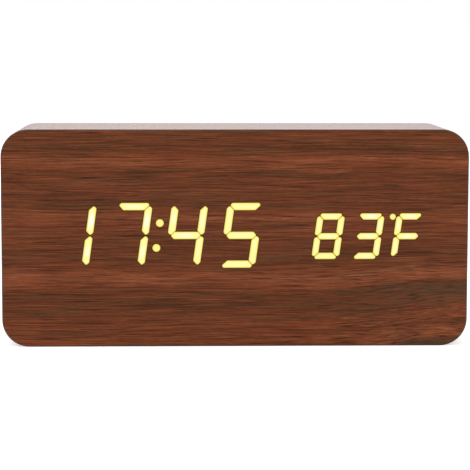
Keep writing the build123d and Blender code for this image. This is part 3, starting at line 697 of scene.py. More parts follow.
@dataclass(frozen=True)
class Fibreboard(Finish):
    """Cut edge of fibreboard: pale and dark flecks in a soft brown."""

    grain: float = 0.5 * MM
    spread: float = 0.18
    depth: float = 0.08 * MM
    strength: float = 0.5
    fleck: Colour = tint(96, 66, 44)
    fleck_stretch: Point = (1.0, 2.5, 1.0)
    fleck_scale: float = 2600.0
    fleck_detail: float = 3.0
    fleck_edge: Pair = (0.6, 0.72)

    def colours(self, coat: Coat, plain: Socket) -> Socket:
        """The plain colour, with flecks where a stretched noise is high.

        Args:
            coat: the material.
            plain: the plain colour.

        Returns:
            The colour.
        """
        place = coat.graph.scaled(coat.graph.place(), *self.fleck_stretch)
        flecks = coat.graph.noise(place, self.fleck_scale, self.fleck_detail)
        return coat.graph.blend(coat.graph.span(flecks, self.fleck_edge), plain, self.fleck)


@dataclass(frozen=True)
class Metal(Finish):
    """Drawn, turned or plated metal with fine lines along one axis."""

    metallic: float = 1.0
    grain: float = 0.12 * MM
    spread: float = 0.1
    uneven: float = 0.07
    lines: Along = Along.Y
    stretch: float = 0.08

    def pattern(self, coat: Coat) -> list[Socket]:
        """Shade and height of lines that are drawn out along the axis."""
        scales = [self.stretch if axis == self.lines else 1.0 for axis in Along]
        return coat.group(coat.groups.brush, coat.graph.scaled(coat.graph.place(), *scales), self.grain)


@dataclass(frozen=True)
class CircuitBoard(Finish):
    """Solder mask over a net of copper tracks, with small plated holes.

    Tracks run along X in a square net and are kept where a coarse noise is high. Edges of tracks and
    holes are shares of the net's pitch.
    """

    depth: float = 0.03 * MM
    strength: float = 0.6
    track: Colour = tint(44, 104, 58)
    track_edge: Pair = (0.14, 0.1)
    track_kept: Pair = (0.48, 0.5)
    pad: Colour = tint(196, 176, 120)
    hole_edge: Pair = (0.2, 0.17)
    hole_kept: Pair = (0.52, 0.54)
    pitch: float = 2.54 * MM
    runs: float = 4.0
    patch_scale: float = 900.0
    mask_height: float = 0.2

    def from_line(self, graph: Graph, place: Socket) -> Socket:
        """How far a place is from the nearest line of the net, as a share of the pitch."""
        return graph.size(graph.minus(graph.math("FRACT", graph.over(place, self.pitch)), 0.5))

    def paint(self, coat: Coat) -> None:
        """Puts the mask on a material, with its tracks and holes.

        Args:
            coat: the material.
        """
        graph = coat.graph
        x, _, z = graph.split(graph.place())
        cell = graph.join(graph.math("SNAP", x, self.runs * self.pitch), graph.math("SNAP", z, self.pitch))
        kept = graph.noise(cell, self.patch_scale)
        down, across = self.from_line(graph, z), self.from_line(graph, x)
        track = graph.times(graph.span(down, self.track_edge), graph.span(kept, self.track_kept))
        reach = graph.math("SQRT", graph.plus(graph.times(down, down), graph.times(across, across)))
        hole = graph.times(graph.span(reach, self.hole_edge), graph.span(kept, self.hole_kept))
        shade, height = self.pattern(coat)
        colour = graph.blend(hole, graph.blend(track, coat.shaded(shade), self.track), self.pad)
        coat.cover(colour, shade, graph.plus(track, graph.times(height, self.mask_height)))


@dataclass(frozen=True)
class Glow(Finish):
    """Light of a segment through the film: a dark rim, a yellow edge and a pale core.

    The piece's attributes hold how far a point lies inside the segment's edge, in millimetres, how far
    it lies from the segment's middle, and how much of the chip's own white shows in the middle. The
    pairs say where each colour sets in and where it is full, by the first, and the hot spot by the second.
    """

    sheen: float = 0.16
    grain: float = 0.35 * MM
    strength: float = 0.2
    rim: Colour = tint(66, 46, 20)
    rim_end: Pair = (-0.1, -0.08)
    edge: Colour = tint(222, 184, 70)
    warm: Colour = tint(253, 236, 120)
    warm_from: Pair = (-0.08, 0.12)
    core: Colour = tint(253, 251, 166)
    core_from: Pair = (0.08, 0.55)
    white: Colour = tint(252, 252, 240)
    white_from: Pair = (0.1, 0.6)
    hot_reach: Pair = (1.0, 0.1)
    unlit: Colour = (0.0, 0.0, 0.0)
    lit_base: Colour = (0.02, 0.018, 0.008)

    def paint(self, coat: Coat) -> None:
        """Puts the light on a material, and the rim round it.

        Args:
            coat: the material.
        """
        graph = coat.graph
        inset = graph.attribute("inset")
        lit = graph.span(inset, self.rim_end)
        light = graph.blend(graph.span(inset, self.warm_from), self.edge, self.warm)
        light = graph.blend(graph.span(inset, self.core_from), light, self.core)
        hot = graph.span(graph.size(graph.attribute("reach")), self.hot_reach)
        hot = graph.times(hot, graph.span(inset, self.white_from), graph.attribute("whiteness"))
        light = graph.blend(lit, self.unlit, graph.blend(hot, light, self.white))
        coat.cover(graph.blend(lit, self.rim, self.lit_base), *self.pattern(coat))
        coat.put({"Emission Color": light, "Emission Strength": 1.0})


@dataclass(frozen=True)
class Resin(Finish):
    """Milky resin that fills the pockets of the display."""

    grain: float = 0.8 * MM
    spread: float = 0.06
    uneven: float = 0.0
    milk: float = 0.3
    milk_depth: float = 1.0 * MM

    def paint(self, coat: Coat) -> None:
        """Puts the pattern on a material, and lets light into it."""
        super().paint(coat)
        coat.put({"Subsurface Weight": self.milk, "Subsurface Scale": self.milk_depth})


@dataclass(frozen=True)
class Sleeve(Finish):
    """Printed sleeve of a cell: a body colour, and a second one from a place along it to the nub's end."""

    metallic: float = 0.35
    spread: float = 0.08
    band: Colour = tint(198, 150, 78)
    edge: Pair = (0.7, 0.71)

    def colours(self, coat: Coat, plain: Socket) -> Socket:
        """The plain colour up to the edge, which is a share of the cell's length, and the band beyond."""
        return coat.graph.blend(coat.graph.span(coat.graph.attribute("along"), self.edge), plain, self.band)


@dataclass(frozen=True)
class Ground(Finish):
    """Pale floor, lifted to white for the camera where no shadow falls."""

    sheen: float = 0.0
    pale: Colour = (0.88, 0.88, 0.88)
    patch_scale: float = 3.0
    lift: float = 0.53

    def paint(self, coat: Coat) -> None:
        """Puts broad patches of the two pale colours on a material, and the lift.

        Args:
            coat: the material.
        """
        graph = coat.graph
        patches = graph.noise(graph.place(), self.patch_scale)
        seen = graph.times(graph.add("ShaderNodeLightPath").outputs["Is Camera Ray"], self.lift)
        coat.put({"Base Color": graph.blend(patches, self.colour, self.pale)})
        coat.put({"Emission Color": graph.join(seen, seen, seen), "Emission Strength": 1.0})


# Meshes


@dataclass
class Patch:
    """A surface given as a grid of points, with what each face and point carries.

    The grid has rows and columns of points. Its rows are closed, its columns may be, and each end row may
    be closed by one face.
    """

    points: Array
    wrap_rows: bool = False
    close_ends: bool = False
    material: int = 0
    flow: Array | None = None
    values: dict[str, Array] = field(default_factory=dict)

    def faces(self, first: int) -> list[list[int]]:
        """Faces between neighbouring points, numbered from a first point.

        Args:
            first: number of the patch's first point in its mesh.

        Returns:
            The quads, and then the end faces.
        """
        rows, columns = self.points.shape[:2]
        across = np.arange(rows if self.wrap_rows else rows - 1)
        row, column = np.meshgrid(across, np.arange(columns), indexing="ij")
        below, right = (row + 1) % rows, (column + 1) % columns
        places = ((row, column), (row, right), (below, right), (below, column))
        corners = [line * columns + point for line, point in places]
        quads = (np.stack(corners, axis=-1).reshape(-1, 4) + first).tolist()
        if self.close_ends:
            last = first + (rows - 1) * columns
            quads += [list(range(first, first + columns)), list(range(last, last + columns))]
        return quads

    def corner_flow(self) -> Array:
        """Flow at the corners of the quads, in the order of the faces."""
        corners = (self.flow[:-1, :-1], self.flow[:-1, 1:], self.flow[1:, 1:], self.flow[1:, :-1])
        return np.stack(corners, axis=2).reshape(-1, 2)


def build_mesh(name: str, patches: list[Patch]) -> bpy.types.Mesh:
    """One closed mesh of several patches.

    Args:
        name: the mesh's name.
        patches: the surfaces. A flow grid has one row and one column more than the quads. All patches
            have the same named values, and each becomes an attribute of the mesh's points.

    Returns:
        The mesh, with doubled points merged and its faces turned outwards.
    """
    mesh = bpy.data.meshes.new(name)
    starts = np.cumsum([0] + [patch.points[..., 0].size for patch in patches])
    points = np.concatenate([patch.points.reshape(-1, 3) for patch in patches])
    faces = [patch.faces(int(start)) for patch, start in zip(patches, starts)]
    mesh.from_pydata(points.tolist(), [], [face for group in faces for face in group])
    slots = [patch.material for patch, group in zip(patches, faces) for _ in group]
    mesh.polygons.foreach_set("material_index", slots)
    for label in patches[0].values:
        layer = mesh.attributes.new(label, "FLOAT", "POINT")
        layer.data.foreach_set("value", np.concatenate([patch.values[label].ravel() for patch in patches]))
    if patches[0].flow is not None:
        flow = np.concatenate([patch.corner_flow() for patch in patches])
        mesh.uv_layers.new(name="wrap").data.foreach_set("uv", flow.ravel())
    work = bmesh.new()
    work.from_mesh(mesh)
    bmesh.ops.remove_doubles(work, verts=work.verts, dist=MERGE_WITHIN)
    bmesh.ops.recalc_face_normals(work, faces=work.faces)
    work.to_mesh(mesh)
    work.free()
    mesh.shade_smooth()
    mesh.set_sharp_from_angle(angle=SMOOTH_BELOW)
    return mesh


def ease_edges(piece: bpy.types.Object, width: float) -> None:
    """Welds a piece's loose triangles, joins its flat faces and gives its sharp edges a small round.

    Args:
        piece: the piece.
        width: width of the round.
    """
    piece.modifiers.new("Weld", "WELD").merge_threshold = WELD_WITHIN
    joined = piece.modifiers.new("Flat", "DECIMATE")
    joined.decimate_type = "DISSOLVE"
    joined.angle_limit = JOIN_BELOW
    bevel = piece.modifiers.new("Ease", "BEVEL")
    bevel.width = width
    bevel.segments = ROUND_STEPS
    bevel.limit_method = "ANGLE"
    bevel.angle_limit = ROUND_ABOVE


def add_object(name: str, data: bpy.types.ID) -> bpy.types.Object:
    """Adds an object to the scene, at the origin.

    Args:
        name: its name.
        data: its mesh, camera or light.

    Returns:
        The object.
    """
    thing = bpy.data.objects.new(name, data)
    bpy.context.scene.collection.objects.link(thing)
    return thing


def middle(node: str, first: int = 0) -> Pair:
    """Middle of a node's box along an axis, X unless Y is asked for, and along Z."""
    low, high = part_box(node)
    return (low[first] + high[first]) / 2, (low[2] + high[2]) / 2


def around(steps: int) -> Array:
    """Angles of evenly spaced points of a full turn."""
    return np.linspace(0.0, 2 * math.pi, steps, endpoint=False)


def rounded_rings(centre: Pair, rings: list[tuple[float, ...]], steps: int = 14) -> Array:
    """Rounded rectangles in X and Z, one for each row of a loft along Y.

    Each ring is four corner arcs: the arc's middle, plus its radius times the cosine and sine of an angle
    that runs a quarter turn. A point is added in the middle of the lower side, where the ring starts.

    Args:
        centre: middle of every ring in X and Z.
        rings: half length, half height, corner radius and depth of each ring.
        steps: points on each corner's arc.

    Returns:
        Points by ring and by place round the ring.
    """
    sizes = np.array(rings)[:, None, :]
    quarter = np.repeat([3, 0, 1, 2], steps)
    angle = (quarter + np.tile(np.linspace(0.0, 1.0, steps), 4)) * math.pi / 2
    side_x = np.repeat([1, 1, -1, -1], steps)
    side_z = np.repeat([-1, 1, 1, -1], steps)
    half_x, half_z, radius, depth = (sizes[..., index] for index in range(4))
    x = centre[0] + side_x * (half_x - radius) + radius * np.cos(angle)
    z = centre[1] + side_z * (half_z - radius) + radius * np.sin(angle)
    start = np.stack([np.full_like(half_x, centre[0]), depth, centre[1] - half_z], axis=-1)
    ring = np.stack([x, np.broadcast_to(depth, x.shape), z], axis=-1)
    return np.concatenate([start, ring], axis=1)


def turned(profile: list[Pair], x: float, z: float, steps: int = 72) -> Array:
    """A profile of radius and depth, turned about a line along Y.

    Args:
        profile: radius from the line and place along Y of each row.
        x, z: place of the line.
        steps: points round the line.

    Returns:
        Points by row and by angle: the line's place plus the radius times the cosine and sine.
    """
    rows = np.array(profile)
    angle = around(steps)
    radius, depth = rows[:, :1], rows[:, 1:]
    depth = np.broadcast_to(depth, (len(rows), steps))
    return np.stack([x + radius * np.cos(angle), depth, z + radius * np.sin(angle)], axis=-1)


class Workshop:
    """Makes each finish's material once, adds pieces and dresses nodes."""

    def __init__(self, groups: Groups) -> None:
        """Keeps the shader groups."""
        self.groups = groups
        self.made: dict[Finish, bpy.types.Material] = {}

    def material(self, finish: Finish) -> bpy.types.Material:
        """The material of a finish.

        Args:
            finish: the finish.

        Returns:
            Its material, made at the first call.
        """
        if finish not in self.made:
            coat = Coat(finish, self.groups)
            finish.paint(coat)
            self.made[finish] = coat.material
        return self.made[finish]

    def dress(self, finish: Finish, *nodes: str, easing: float = 0.0) -> None:
        """Gives carried-over nodes a finish, and eased edges where a width is given.

        Args:
            finish: the finish.
            nodes: the nodes' names in the frame.
            easing: width of the eased edges.
        """
        for node in nodes:
            piece = bpy.data.objects[node]
            piece.data.materials.clear()
            piece.data.materials.append(self.material(finish))
            if easing:
                ease_edges(piece, easing)
            LOG.info("dressed %s in %s", node, finish.name)

    def add(
        self,
        name: str,
        patches: list[Patch],
        finishes: tuple[Finish, ...],
        slot: str,
        *nodes: str,
        body: str = CLOCK,
    ) -> None:
        """Adds a piece of the clock.

        Args:
            name: the piece's name.
            patches: its surfaces, with its place in them.
            finishes: its finishes, by the patches' indices.
            slot: not used.
            nodes: the nodes that it replaces.
            body: the body that it rides on.
        """
        mesh = build_mesh(name, patches)
        for finish in finishes:
            mesh.materials.append(self.material(finish))
        piece = add_object(name, mesh)
        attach(piece, body)
        if nodes:
            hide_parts(*nodes)
        LOG.info("built %s with %d faces on %s", name, len(mesh.polygons), body)


# Studio


@dataclass(frozen=True)
class Lamp:
    """A square soft lamp: its name, its place, and its width and power."""

    name: str
    place: Point
    size: float
    power: float

    def build(self, target: Vector) -> None:
        """Adds the lamp, turned to what it lights.

        Args:
            target: the point that it lights.
        """
        light = bpy.data.lights.new(self.name, "AREA")
        light.size = self.size
        light.energy = self.power
        holder = add_object(self.name, light)
        holder.location = self.place
        holder.rotation_euler = (target - holder.location).to_track_quat("-Z", "Y").to_euler()


@dataclass
class Studio:
    """Camera, floor, lamps and surroundings."""

    workshop: Workshop
    eye: Point = (-18.6 * MM, -622.3 * MM, 99.4 * MM)
    turn: float = -1.76
    tilt: float = -6.02
    roll: float = -0.09
    lens: float = 144.0
    sensor: float = 36.0
    nearest: float = 0.01
    floor_half: float = 3.0
    floor_drop: float = 0.05 * MM
    floor: Finish = Ground("floor", (0.86, 0.86, 0.86), 0.9)
    target: Point = (0.0, 0.0, 35.0 * MM)
    lamps: tuple[Lamp, ...] = (
        Lamp("key_lamp", (-0.55, -0.75, 0.75), 0.5, 4.4),
        Lamp("fill_lamp", (0.7, -0.7, 0.55), 0.6, 2.8),
        Lamp("rear_lamp", (0.0, 0.8, 0.75), 0.6, 4.9),
    )
    front_level: float = 0.18
    front_end: Pair = (-0.6, 0.2)
    soft_level: float = 0.55

    def set_camera(self) -> None:
        """Puts the camera where the photograph was taken: turned, then tilted, then rolled, in degrees."""
        camera = add_object("camera", bpy.data.cameras.new("camera"))
        camera.data.lens = self.lens
        camera.data.sensor_width = self.sensor
        camera.data.clip_start = self.nearest
        rotation = Matrix.Identity(3)
        for angle, axis in ((self.turn, "Z"), (self.tilt, "X"), (self.roll, "Y")):
            rotation = rotation @ Matrix.Rotation(math.radians(angle), 3, axis)
        right, ahead, above = rotation.col
        facing = Matrix((right, above, -ahead)).transposed()
        camera.matrix_world = Matrix.Translation(self.eye) @ facing.to_4x4()
        bpy.context.scene.camera = camera

    def set_floor(self) -> None:
        """Lays the floor just under the clock."""
        half, level = self.floor_half, -self.floor_drop
        mesh = bpy.data.meshes.new("floor")
        corners = [(-half, -half, level), (half, -half, level), (half, half, level), (-half, half, level)]
        mesh.from_pydata(corners, [], [(0, 1, 2, 3)])
        mesh.materials.append(self.workshop.material(self.floor))
        add_object("floor", mesh)

    def set_world(self) -> None:
        """White surroundings, which mirrors see dim in front and which light the clock softly."""
        world = bpy.data.worlds.new("studio")
        bpy.context.scene.world = world
        world.use_nodes = True
        graph = Graph(world.node_tree)
        way = graph.split(graph.add("ShaderNodeTexCoord").outputs["Generated"])
        path = graph.add("ShaderNodeLightPath").outputs
        mirror = graph.most(path["Is Glossy Ray"], path["Is Transmission Ray"])
        glossy = graph.times(mirror, graph.span(way[1], self.front_end, self.front_level, 1.0))
        diffuse = graph.times(path["Is Diffuse Ray"], self.soft_level)
        level = graph.most(path["Is Camera Ray"], glossy, diffuse)
        graph.feed_named(graph.found("BACKGROUND"), {"Strength": level, "Color": (1.0, 1.0, 1.0, 1.0)})

    def build(self) -> None:
        """Sets up the whole studio."""
        self.set_camera()
        self.set_floor()
        self.set_world()
        for lamp in self.lamps:
            lamp.build(Vector(self.target))
        bpy.context.scene.view_settings.view_transform = "Standard"
        LOG.info("studio ready")


# The clock's sub-assemblies


@dataclass
class WoodCase:
    """Box of fibreboard wrapped in wood film, with a film face and a stepped rear opening."""

    workshop: Workshop
    corner: float = 8.8 * MM
    cavity_corner: float = 3.0 * MM
    side_wall: float = 8.0 * MM
    front_wall: float = 5.0 * MM
    cover_ledge: float = 2.0 * MM
    cover_seat: float = 4.0 * MM
    rear_edge: float = 0.5 * MM
    window_gap: float = 0.5 * MM
    film_easing: float = 0.19 * MM
    block_easing: float = 0.3 * MM
    front: Finish = WoodFront("wood face film", tint(115, 62, 40), 0.42)
    wrap: Finish = WoodWrap("wood wrap film", tint(115, 62, 40), 0.34)
    core: Finish = Fibreboard("fibreboard", tint(132, 98, 66), 0.85)

    def rings(self) -> list[tuple[float, float, float, float]]:
        """Steps of the case, from front to back outside and back to the front inside.

        Returns:
            Half length, half height, corner radius and depth of each step.
        """
        low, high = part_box("case_shell")
        hole_low, hole_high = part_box("display_reflector")
        half_x, half_z = (high[0] - low[0]) / 2, (high[2] - low[2]) / 2
        front, rear = low[1], high[1]
        wall, seat = front + self.front_wall, rear - self.cover_seat
        inner_x, inner_z = half_x - self.side_wall, half_z - self.side_wall
        step = self.side_wall - self.cover_ledge
        window_x = (hole_high[0] - hole_low[0]) / 2 + self.window_gap
        window_z = (hole_high[2] - hole_low[2]) / 2 + self.window_gap
        return [
            (half_x, half_z, self.corner, front),
            (half_x, half_z, self.corner, rear - self.rear_edge),
            (half_x - self.rear_edge, half_z - self.rear_edge, self.corner - self.rear_edge, rear),
            (half_x - step, half_z - step, self.corner - step, rear),
            (half_x - step, half_z - step, self.corner - step, seat),
            (inner_x, inner_z, self.cavity_corner, seat),
            (inner_x, inner_z, self.cavity_corner, wall),
            (window_x, window_z, 0.0, wall),
            (window_x, window_z, 0.0, front),
        ]

    def flow(self, rings: Array) -> Array:
        """The film's map: how far round the case and how far back along its section each corner lies.

        Args:
            rings: the case's points, by ring and by place round it.

        Returns:
            The two lengths, summed from side to side, with one row and one column more than the rings.
        """
        lengths = []
        for line in (rings[0][:, [0, 2]], rings[:, 1]):
            sides = np.linalg.norm(np.diff(line, axis=0, append=line[:1]), axis=1)
            lengths.append(np.concatenate([[0.0], np.cumsum(sides)]))
        return np.stack(np.meshgrid(*lengths), axis=-1)

    def build(self) -> None:
        """Builds the wrapped box and dresses the face film and the corner blocks."""
        rings = rounded_rings(middle("case_shell"), self.rings())
        flow = self.flow(rings)
        film = Patch(rings[:3], flow=flow[:3])
        core = Patch(np.concatenate([rings[2:], rings[:1]]), material=1, flow=flow[2:])
        self.workshop.add("case_wrap", [film, core], (self.wrap, self.core), "wood_case", "case_shell")
        self.workshop.dress(self.front, "front_veneer", easing=self.film_easing)
        self.workshop.dress(self.core, "corner_blocks", easing=self.block_easing)


@dataclass(frozen=True)
class DigitStyle:
    """Sizes of one row of leaning figures, in millimetres."""

    half_width: float
    rise: float
    stroke: float
    first_x: float
    pitch: float
    middle_z: float
    tip_shift: float = 0.28
    row_gap: float = 0.15
    end_reach: float = 0.2
    bar_gap: float = 0.25
    bar_cut: float = 0.45
    bar_reach: float = 0.2
    bar_tip_rise: float = 0.45
    middle_reach: float = 0.15
    tip_share: float = 0.55
    slope: float = math.tan(math.radians(8.0))

    def side_bar(self) -> Array:
        """Upper right bar: a hexagon with its tips outside its middle line.

        Returns:
            Its corners, from its lower tip.
        """
        half, top, width = self.stroke / 2, self.rise + self.end_reach, self.half_width
        outer, inner = half - self.tip_shift, half + self.tip_shift
        return np.array([
            (width + self.tip_shift, self.row_gap),
            (width + half, self.row_gap + outer),
            (width + half, top - outer),
            (width + self.tip_shift, top),
            (width - half, top - inner),
            (width - half, self.row_gap + inner),
        ])

    def top_bar(self) -> Array:
        """Top bar, bevelled at its inner and outer corners.

        Returns:
            Its corners, from its lower right one.
        """
        half, width, rise = self.stroke / 2, self.half_width, self.rise
        inner, outer, tip = width - half - self.bar_gap, width - self.bar_cut, width + self.bar_reach
        right = [(inner, rise - half), (tip, rise + self.bar_tip_rise), (outer, rise + half)]
        return np.array(right + [(-x, z) for x, z in reversed(right)])

    def middle_bar(self) -> Array:
        """Middle bar: a hexagon with equal ends.

        Returns:
            Its corners, from its lower right one.
        """
        half, tip = self.stroke / 2, self.half_width + self.middle_reach
        right = [(tip - half, -half), (tip, 0.0), (tip - half, half)]
        return np.array(right + [(-x, -z) for x, z in right])

    def bars(self) -> dict[str, Array]:
        """A digit's seven bars, mirrored from three.

        Returns:
            Their outlines by their letters, each running the same way round.
        """
        side, top = self.side_bar(), self.top_bar()
        return {
            "a": top,
            "b": side,
            "c": side[::-1] * (1, -1),
            "d": top[::-1] * (1, -1),
            "e": side * (-1, -1),
            "f": side[::-1] * (-1, 1),
            "g": self.middle_bar(),
        }

    def outline(self, letter: str, place: int) -> Array:
        """Outline of one bar of a figure, leaning to the right.

        Args:
            letter: the bar.
            place: the figure's place in the row.

        Returns:
            Its corners in X and Z.
        """
        points = self.bars()[letter]
        lean = points[:, 0] + self.slope * points[:, 1]
        return np.stack([self.first_x + self.pitch * place + lean, self.middle_z + points[:, 1]], axis=-1)

    def spine(self, letter: str, outline: Array) -> Array:
        """Middle line of a bar: it joins the bar's two tips, each pulled in by a share of the stroke.

        Args:
            letter: the bar.
            outline: its corners.

        Returns:
            The line's two ends.
        """
        ends = outline[[1, 4] if letter in "adg" else [0, 3]]
        run = (ends[1] - ends[0]) / np.linalg.norm(ends[1] - ends[0])
        pull = self.stroke * self.tip_share
        return np.array([ends[0] + pull * run, ends[1] - pull * run])


@dataclass(frozen=True)
class Figure:
    """A lit figure: its place in its row, its bars by their letters, and how white each bar's core is."""

    place: int
    bars: str
    whites: tuple[float, ...]


@dataclass
class Display:
    """Figures that shine through the film, and the block, guides and chips behind it. In millimetres."""

    workshop: Workshop
    rim: float = 0.32
    ledge: float = 0.15
    spill: float = 0.08
    corner: float = 0.5
    corner_steps: int = 7
    face_insets: tuple[float, ...] = (0.0, 0.12, 0.24, 0.36)
    core_inset: float = 1.0
    rim_proud: float = 0.01
    light_proud: float = 0.02
    time: DigitStyle = DigitStyle(
        half_width=4.675, rise=9.3, stroke=2.2, first_x=-51.55, pitch=17.8, middle_z=36.0
    )
    warmth: DigitStyle = DigitStyle(
        half_width=3.425, rise=6.36, stroke=1.9, first_x=29.82, pitch=12.75, middle_z=35.67
    )
    hours: tuple[Figure, ...] = (Figure(0, "bc", (1.0, 0.6)), Figure(1, "abc", (0.3, 0.7, 0.5)))
    minutes: tuple[Figure, ...] = (
        Figure(2, "bcfg", (0.3, 0.05, 0.35, 0.45)), Figure(3, "acdfg", (0.0, 0.0, 0.05, 0.0, 0.15))
    )
    degrees: tuple[Figure, ...] = (
        Figure(0, "abcdefg", (0.2, 0.1, 0.1, 0.0, 0.1, 0.15, 0.3)),
        Figure(1, "abcdg", (0.7, 0.35, 0.25, 0.3, 0.35)),
    )
    unit: tuple[Figure, ...] = (Figure(2, "aefg", (0.5, 0.3, 0.4, 0.45)),)
    colon: tuple[Pair, ...] = ((-24.27, 40.0), (-25.39, 32.0))
    colon_radius: float = 1.2
    degree: tuple[Pair, ...] = ((50.57, 41.93),)
    degree_radius: float = 0.93
    dot_sides: int = 16
    dot_spine: float = 0.01
    light: Finish = Glow("display light", tint(255, 250, 200), 0.5)
    dot_light: Finish = Glow(
        "display dot light", tint(255, 250, 200), 0.5, warm=tint(247, 232, 112), core=tint(252, 245, 148)
    )
    block: Finish = Moulded("white reflector", tint(228, 228, 224), 0.55)
    guide: Finish = Resin("milky resin", tint(226, 224, 214), 0.25)
    chip: Finish = Moulded("chip resin", tint(238, 206, 96), 0.3, grain=0.15 * MM)

    def steps(self) -> list[Pair]:
        """Section of a plate, from its foot over its rim to its lit face.

        Returns:
            Inset from the bar's edge and depth of each row.
        """
        low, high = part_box("front_veneer")
        front, back = low[1] / MM, high[1] / MM
        rim, face = front - self.rim_proud, front - self.light_proud
        foot = [(self.spill, back), (self.spill, front), (-self.rim, front), (-self.rim, rim)]
        lit = [(inset, face) for inset in (-self.spill, *self.face_insets, self.corner)]
        return foot + [(-self.ledge, rim), (-self.spill, rim)] + lit

    def plate(self, outline: Array, spine: Array, white: float) -> Patch:
        """A thin plate that shows one bar's light, with a rim over the film round it.

        The outline is pulled in by the corner radius, where each corner's offset is the sum of its two
        normals over one plus their product. A ring at some inset is that outline plus what is left of the
        radius along normals that turn from one side's to the next. The last ring is each point's nearest
        place on the bar's spine. A point's reach is how far along the spine it lies, from -1 to 1.

        Args:
            outline: corners of the bar in X and Z, counter-clockwise.
            spine: the two ends of the bar's middle line.
            white: how white the bar's core is.

        Returns:
            The plate from its back to its front, with the inset, the reach and the whiteness of each point.
        """
        side = np.roll(outline, -1, axis=0) - outline
        side /= np.linalg.norm(side, axis=1, keepdims=True)
        after = np.stack([side[:, 1], -side[:, 0]], axis=-1)
        before = np.roll(after, 1, axis=0)
        product = np.sum(before * after, axis=1, keepdims=True)
        core = outline - self.corner * (before + after) / (1 + product)
        share = np.linspace(0.0, 1.0, self.corner_steps)[None, :, None]
        normal = before[:, None] * (1 - share) + after[:, None] * share
        normal = (normal / np.linalg.norm(normal, axis=2, keepdims=True)).reshape(-1, 2)
        core = np.repeat(core, self.corner_steps, axis=0)
        run = spine[1] - spine[0]
        along = np.clip((core - spine[0]) @ run / (run @ run), 0.0, 1.0)
        line = spine[0] + along[:, None] * run
        steps = self.steps()
        rings = [(line, steps[0][1])]
        rings += [(core + (self.corner - inset) * normal, depth) for inset, depth in steps]
        rings.append((line, steps[-1][1]))
        insets = np.array([steps[0][0]] + [inset for inset, _ in steps] + [self.core_inset])
        points = np.array([np.insert(ring, 1, depth, axis=1) for ring, depth in rings])
        reach = 2 * (points[..., [0, 2]] - spine[0]) @ run / (run @ run) - 1
        inset = np.broadcast_to(insets[:, None], reach.shape)
        whiteness = np.full(reach.shape, white)
        return Patch(points * MM, values={"inset": inset, "reach": reach, "whiteness": whiteness})

    def dot_plate(self, x: float, z: float, radius: float) -> Patch:
        """Plate of a round dot, as a bar with many sides and a very short spine.

        Args:
            x, z: the dot's middle.
            radius: its radius.

        Returns:
            The plate.
        """
        half = self.dot_spine * radius
        angle = around(self.dot_sides)
        outline = np.stack([x + radius * np.cos(angle), z + radius * np.sin(angle)], axis=-1)
        return self.plate(outline, np.array([(x, z - half), (x, z + half)]), 0.0)

    def add_figures(self, node: str, style: DigitStyle, figures: tuple[Figure, ...]) -> None:
        """One piece for the lit bars of a few figures.

        Args:
            node: the node whose place it takes.
            style: the figures' sizes.
            figures: the figures.
        """
        patches = []
        for figure in figures:
            for letter, white in zip(figure.bars, figure.whites):
                outline = style.outline(letter, figure.place)
                patches.append(self.plate(outline, style.spine(letter, outline), white))
        self.add_lights(node, patches, self.light)

    def add_dots(self, node: str, places: tuple[Pair, ...], radius: float) -> None:
        """One piece for round dots of a radius, in the place of their node."""
        self.add_lights(node, [self.dot_plate(x, z, radius) for x, z in places], self.dot_light)

    def add_lights(self, node: str, patches: list[Patch], finish: Finish) -> None:
        """One piece of several plates, in the place of its node."""
        self.workshop.add(node.replace("lit_", "light_"), patches, (finish,), "lit_sign", node)

    def build(self) -> None:
        """Builds the lights and dresses what lies behind them."""
        self.add_figures("lit_hours", self.time, self.hours)
        self.add_figures("lit_minutes", self.time, self.minutes)
        self.add_figures("lit_temperature", self.warmth, self.degrees)
        self.add_figures("lit_unit", self.warmth, self.unit)
        self.add_dots("lit_colon", self.colon, self.colon_radius)
        self.add_dots("lit_degree", self.degree, self.degree_radius)
        self.workshop.dress(self.block, "display_reflector")
        self.workshop.dress(self.chip, "led_chips")
        self.workshop.dress(self.guide, "time_segment_guides", "temperature_segment_guides", "dot_guides")


@dataclass(frozen=True)
class CrossHead:
    """Domed screw head with a cross recess."""

    radius: float = 2.75 * MM
    edge: float = 0.15 * MM
    shank: float = 1.4 * MM
    fall: float = 0.55
    arm_width: float = 0.35 * MM
    arm_length: float = 1.5 * MM
    slope: float = 0.16 * MM
    recess: float = 1.0 * MM
    rows: int = 22
    sides: int = 72

    def patch(self, x: float, z: float, tip: float, base: float, top: float) -> Patch:
        """One screw: a plain shank under a head that is a polar grid.

        The head's height is a dome that falls with the square of the radius, less a recess. The recess
        is as deep as stated where the nearer of the two arms is inside its width and length, and its
        depth falls off evenly over the slope.

        Args:
            x, z: the screw's place.
            tip, base, top: depths of its tip, of the seat under its head and of its highest point.

        Returns:
            The screw's surface.
        """
        head = np.linspace(self.radius - self.edge, 0.0, self.rows)
        radius = np.concatenate([[0.0, self.shank, self.shank, self.radius, self.radius], head])[:, None]
        angle = around(self.sides)[None, :]
        u, v = radius * np.cos(angle), radius * np.sin(angle)
        dome = base + (top - base) * (1 - self.fall * (radius / self.radius) ** 2)
        upright = np.maximum(np.abs(u) - self.arm_width, np.abs(v) - self.arm_length)
        level = np.maximum(np.abs(v) - self.arm_width, np.abs(u) - self.arm_length)
        arm = np.minimum(upright, level)
        depth = dome - self.recess * np.clip(0.5 - arm / self.slope, 0.0, 1.0)
        depth[:4] = np.array([tip, tip, base, base])[:, None]
        return Patch(np.stack([x + u, depth, z + v], axis=-1))


